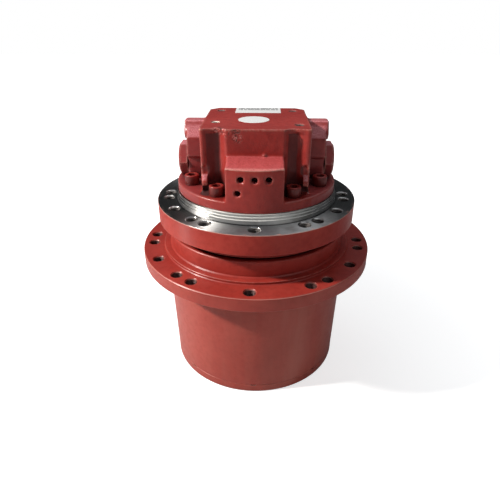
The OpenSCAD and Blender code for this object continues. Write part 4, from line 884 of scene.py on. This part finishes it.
def make_casting():
    """Motor cover with the soft corners and uneven walls of a sand casting."""
    piece = add_object("motor_casting", welded_copy("motor_cover", "motor_casting"))
    added, cut = casting_forms()
    combine(piece, added, "UNION")
    combine(piece, cut, "DIFFERENCE")
    remesh = piece.modifiers.new("voxels", "REMESH")
    remesh.mode, remesh.voxel_size = "VOXEL", VOXEL
    mesh = bake(piece)
    points = read_rows(mesh.vertices, "co", 3)
    edges = read_rows(mesh.edges, "vertices", 2, int)
    x, y, z = points.T
    cast = (z > FOOT_TOP + 0.001) & (z < BLOCK_TOP - 0.004) & (np.hypot(x, y) < ROUGH_R)
    points = smooth_points(points, edges, SMOOTH_ROUNDS, np.where(cast, 1.0, 0.45)[:, None])
    move_points(mesh, points)
    normals = read_rows(mesh.vertices, "normal", 3)
    swell = np.array([noise.noise(Vector(p) * 95.0) + 0.45 * noise.noise(Vector(p) * 260.0)
                      for p in points])
    points -= normals * (np.where(cast, UNEVEN, UNEVEN_MACHINED) * (0.6 + swell))[:, None]
    away = np.linalg.norm(points - np.array(LUMP) * MM, axis=1) / (LUMP_HEIGHT * MM)
    points += normals * (np.exp(-away ** 2) * LUMP_HEIGHT * MM)[:, None]
    points[:, 2] = np.minimum(points[:, 2], BLOCK_TOP - 0.00025)
    move_points(mesh, points)
    piece.modifiers.new("thin", "DECIMATE").ratio = KEPT_FACES
    bake(piece).shade_smooth()
    even = piece.modifiers.new("even", "WEIGHTED_NORMAL")
    even.mode, even.weight = "FACE_AREA", 60
    mesh = bake(piece)
    mesh.materials.clear()
    mesh.materials.append(FINISH["motor_paint"])
    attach(piece, "spindle")
    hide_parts("motor_cover")


make_casting()


# ---- Screws, threads and labels ---------------------------------------------------------

# Radii of the screw circles and of the large holes' threads, in millimetres
COVER_SCREW_R, RIM_SCREW_R, FRAME_HOLE_R, THREAD_R = 86.5, 110.5, 115, 7.0
# Height of the rim screws' seats in metres, and the hub's turn in degrees
RIM_SEAT, HUB_TURN = 0.0084, -1.6

bolt_places = [round_place(COVER_SCREW_R, side * a, FOOT_TOP) for side in (-1, 1) for a in (31, 66, 114, 149)]
bolts = scatter("cover_screws_seen", screw_mesh("cover_screw", d=12, head_d=18), bolt_places, "spindle",
                FINISH["screw_paint"], turn=1.0, seed=4)
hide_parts("cover_bolts")

rim_places = [round_place(RIM_SCREW_R, 30 * i, RIM_SEAT) for i in range(12)]
rim_screws = scatter("rim_screws_seen", screw_mesh("rim_screw", d=8, head_d=13, upside_down=True), rim_places, "hub",
                     FINISH["black_screws"], turn=1.0, seed=7)
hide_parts("end_cover_screws")


def hole_angles(turn=0.0):
    """The twelve holes and the six of the nine-hole ring, counted from the front."""
    return [30 * i + turn for i in range(12)] + [40 * i + turn for i in range(9) if i % 3]


scatter("frame_threads", thread_mesh("frame_thread", THREAD_R, pitch=2.0, depth=21.5, start=1.4),
        [round_place(FRAME_HOLE_R, a, SPINDLE_FACE) for a in hole_angles()], "spindle", FINISH["thread_steel"])
scatter("sprocket_threads", thread_mesh("sprocket_thread", THREAD_R, pitch=2.0, depth=16.5, start=1.4),
        [round_place(SPROCKET_SCREW_R / MM, a, SPROCKET_TOP) for a in hole_angles(HUB_TURN)], "hub",
        FINISH["thread_paint"])

# Middles of the lifting holes in the motor's top, in millimetres; the first one's thread is pale, a painted highlight
# of its lit side
LIFTING_HOLES = ((-48, -30), (50, -44), (47, 40), (-47, 40))
lifting_places = [(x * MM, y * MM, BLOCK_TOP) for x, y in LIFTING_HOLES]
lifting_thread = thread_mesh("lifting_thread", 5.0, pitch=1.5, depth=18.0, start=1.2)
scatter("used_lifting_thread", lifting_thread, lifting_places[:1], "spindle", FINISH["lit_thread"])
scatter("lifting_threads", lifting_thread, lifting_places[1:], "spindle", FINISH["thread_steel"])

# Heights of the labels' two sides and of the bevel round the upper one, whose outline is scaled by the taper
LABEL_LOW, LABEL_HIGH = BLOCK_TOP - 0.0004, BLOCK_TOP - 0.0001
LABEL_EDGE, LABEL_TAPER = 0.00004, 0.994
# Round label's middle and radius, and the corners of the rectangular one, in millimetres
DISC_X, DISC_Y, DISC_R = -3, -17, 18.7
NAME_PLATE, NAME_CORNER = (-28, 24, 31, 59), 2.0


def make_label(name, outline):
    """Thin closed sheet of paper on the motor's top with the given outline in millimetres."""
    rings = [[(x * share * MM, y * share * MM, z) for x, y in outline]
             for z, share in ((LABEL_LOW, 1.0), (LABEL_HIGH - LABEL_EDGE, 1.0), (LABEL_HIGH, LABEL_TAPER))]
    piece = add_object(name, stacked_rings(name, rings))
    piece.data.materials.append(FINISH["paper"])
    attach(piece, "spindle")


def rounded_box(x0, y0, x1, y1, corner):
    """Outline of a rectangle with round corners, counterclockwise."""
    steps, points = 6, []
    for x, y, first in ((x1 - corner, y0 + corner, -90), (x1 - corner, y1 - corner, 0),
                        (x0 + corner, y1 - corner, 90), (x0 + corner, y0 + corner, 180)):
        for i in range(steps + 1):
            a = math.radians(first + 90 * i / steps)
            points.append((x + corner * math.cos(a), y + corner * math.sin(a)))
    return points


disc = [(DISC_X + DISC_R * math.cos(a), DISC_Y + DISC_R * math.sin(a))
        for a in (2 * math.pi * i / 72 for i in range(72))]
make_label("round_label", disc)
make_label("name_label", rounded_box(*NAME_PLATE, NAME_CORNER))


# ---- Stage ------------------------------------------------------------------------------

WHITE = (1.0, 1.0, 1.0)
FLOOR_GREYS = ((0.62, 0.62, 0.62), (0.66, 0.66, 0.66))
# Light from all round, then what glossy surfaces reflect: its tone, and its strengths below and overhead
SKY, SKY_STRENGTH = (0.85, 0.90, 1.0), 0.11
REFLECTED_SKY, REFLECTED_STRENGTHS = (0.88, 0.94, 1.0), (0.04, 1.2)
# Share of straight up at which the reflected sky starts to brighten and has its full strength
OVERHEAD = (0.72, 0.94)
# Point that the lights shine at
LIGHTS_AIM = (0, 0, 0.18)
# Camera's focal length and place in millimetres, and how far it turns to the left and looks down, in degrees
LENS, CAMERA_PLACE, CAMERA_TURN, CAMERA_PITCH = 30.76, (9.0, -543.2, 450.6), 1.8, 28.45


def make_floor():
    """Pale floor that shows white further out, and shadows near the part."""
    bpy.ops.mesh.primitive_plane_add(size=12.0, location=(0, 0, -0.0005))
    floor = bpy.context.object
    floor.name = "floor"
    material, tree, shader = new_material("pale_floor")
    place = tree.place()
    seen = tree.add("ShaderNodeLightPath").outputs["Is Camera Ray"]
    away = tree.step(tree.length(place), 0.15, 0.70, 0.68, 1.0)
    tree.put_all(shader, {"Base Color": tree.mix(tree.noise(place, 3.0, 3.0), *FLOOR_GREYS), "Roughness": 0.9,
                          "Emission Color": WHITE, "Emission Strength": tree.times(seen, away)})
    floor.data.materials.append(material)


def make_light(name, place, energy, width, colour, height=None):
    """Rectangular light, in metres and watts, that shines on the part."""
    data = bpy.data.lights.new(name, "AREA")
    data.shape = "RECTANGLE"
    data.energy, data.size, data.size_y, data.color = energy, width, height or width, colour
    light = add_object(name, data)
    light.location = place
    light.rotation_euler = (Vector(LIGHTS_AIM) - Vector(place)).to_track_quat("-Z", "Y").to_euler()


def make_world():
    """White backdrop, dim light all round, and a brighter sky overhead for reflections."""
    world = bpy.data.worlds.new("studio")
    bpy.context.scene.world = world
    world.use_nodes = True
    world.node_tree.nodes.clear()
    tree = Tree(world.node_tree)
    path = tree.add("ShaderNodeLightPath").outputs
    seen = tree.math("MAXIMUM", path["Is Camera Ray"], path["Is Transmission Ray"])
    height = tree.split(tree.add("ShaderNodeNewGeometry").outputs["Position"])[2]
    overhead = tree.step(height, *OVERHEAD, *REFLECTED_STRENGTHS)
    dim = tree.add("ShaderNodeBackground", {"Color": SKY, "Strength": SKY_STRENGTH})
    reflected = tree.add("ShaderNodeBackground", {"Color": REFLECTED_SKY, "Strength": overhead})
    white = tree.add("ShaderNodeBackground", {"Color": WHITE, "Strength": 1.0})
    unlit = tree.add("ShaderNodeMixShader", {0: path["Is Glossy Ray"], 1: dim.outputs[0],
                                             2: reflected.outputs[0]})
    both = tree.add("ShaderNodeMixShader", {0: seen, 1: unlit.outputs[0], 2: white.outputs[0]})
    tree.add("ShaderNodeOutputWorld", {"Surface": both.outputs[0]})


def make_camera():
    """Camera at the front, above the part."""
    data = bpy.data.cameras.new("camera")
    data.sensor_width = 36.0
    data.lens = LENS
    camera = add_object("camera", data)
    turn, pitch = math.radians(CAMERA_TURN), math.radians(CAMERA_PITCH)
    forward = Vector((-math.sin(turn) * math.cos(pitch), math.cos(turn) * math.cos(pitch), -math.sin(pitch)))
    camera.location = Vector(CAMERA_PLACE) * MM
    camera.rotation_euler = forward.to_track_quat("-Z", "Y").to_euler()
    bpy.context.scene.camera = camera


make_floor()
make_light("sun_side", (-1.39, -0.365, 1.17), energy=42.0, width=0.12, colour=(1.0, 0.97, 0.92))
make_light("sky_side", (1.10, -1.10, 1.25), energy=4.3, width=1.2, colour=(0.96, 0.97, 0.94))
make_light("sky_above", (0.05, 0.62, 1.4), energy=6.0, width=1.6, colour=(0.93, 0.97, 1.0), height=0.9)
make_world()
make_camera()
bpy.context.scene.view_settings.view_transform = "Standard"
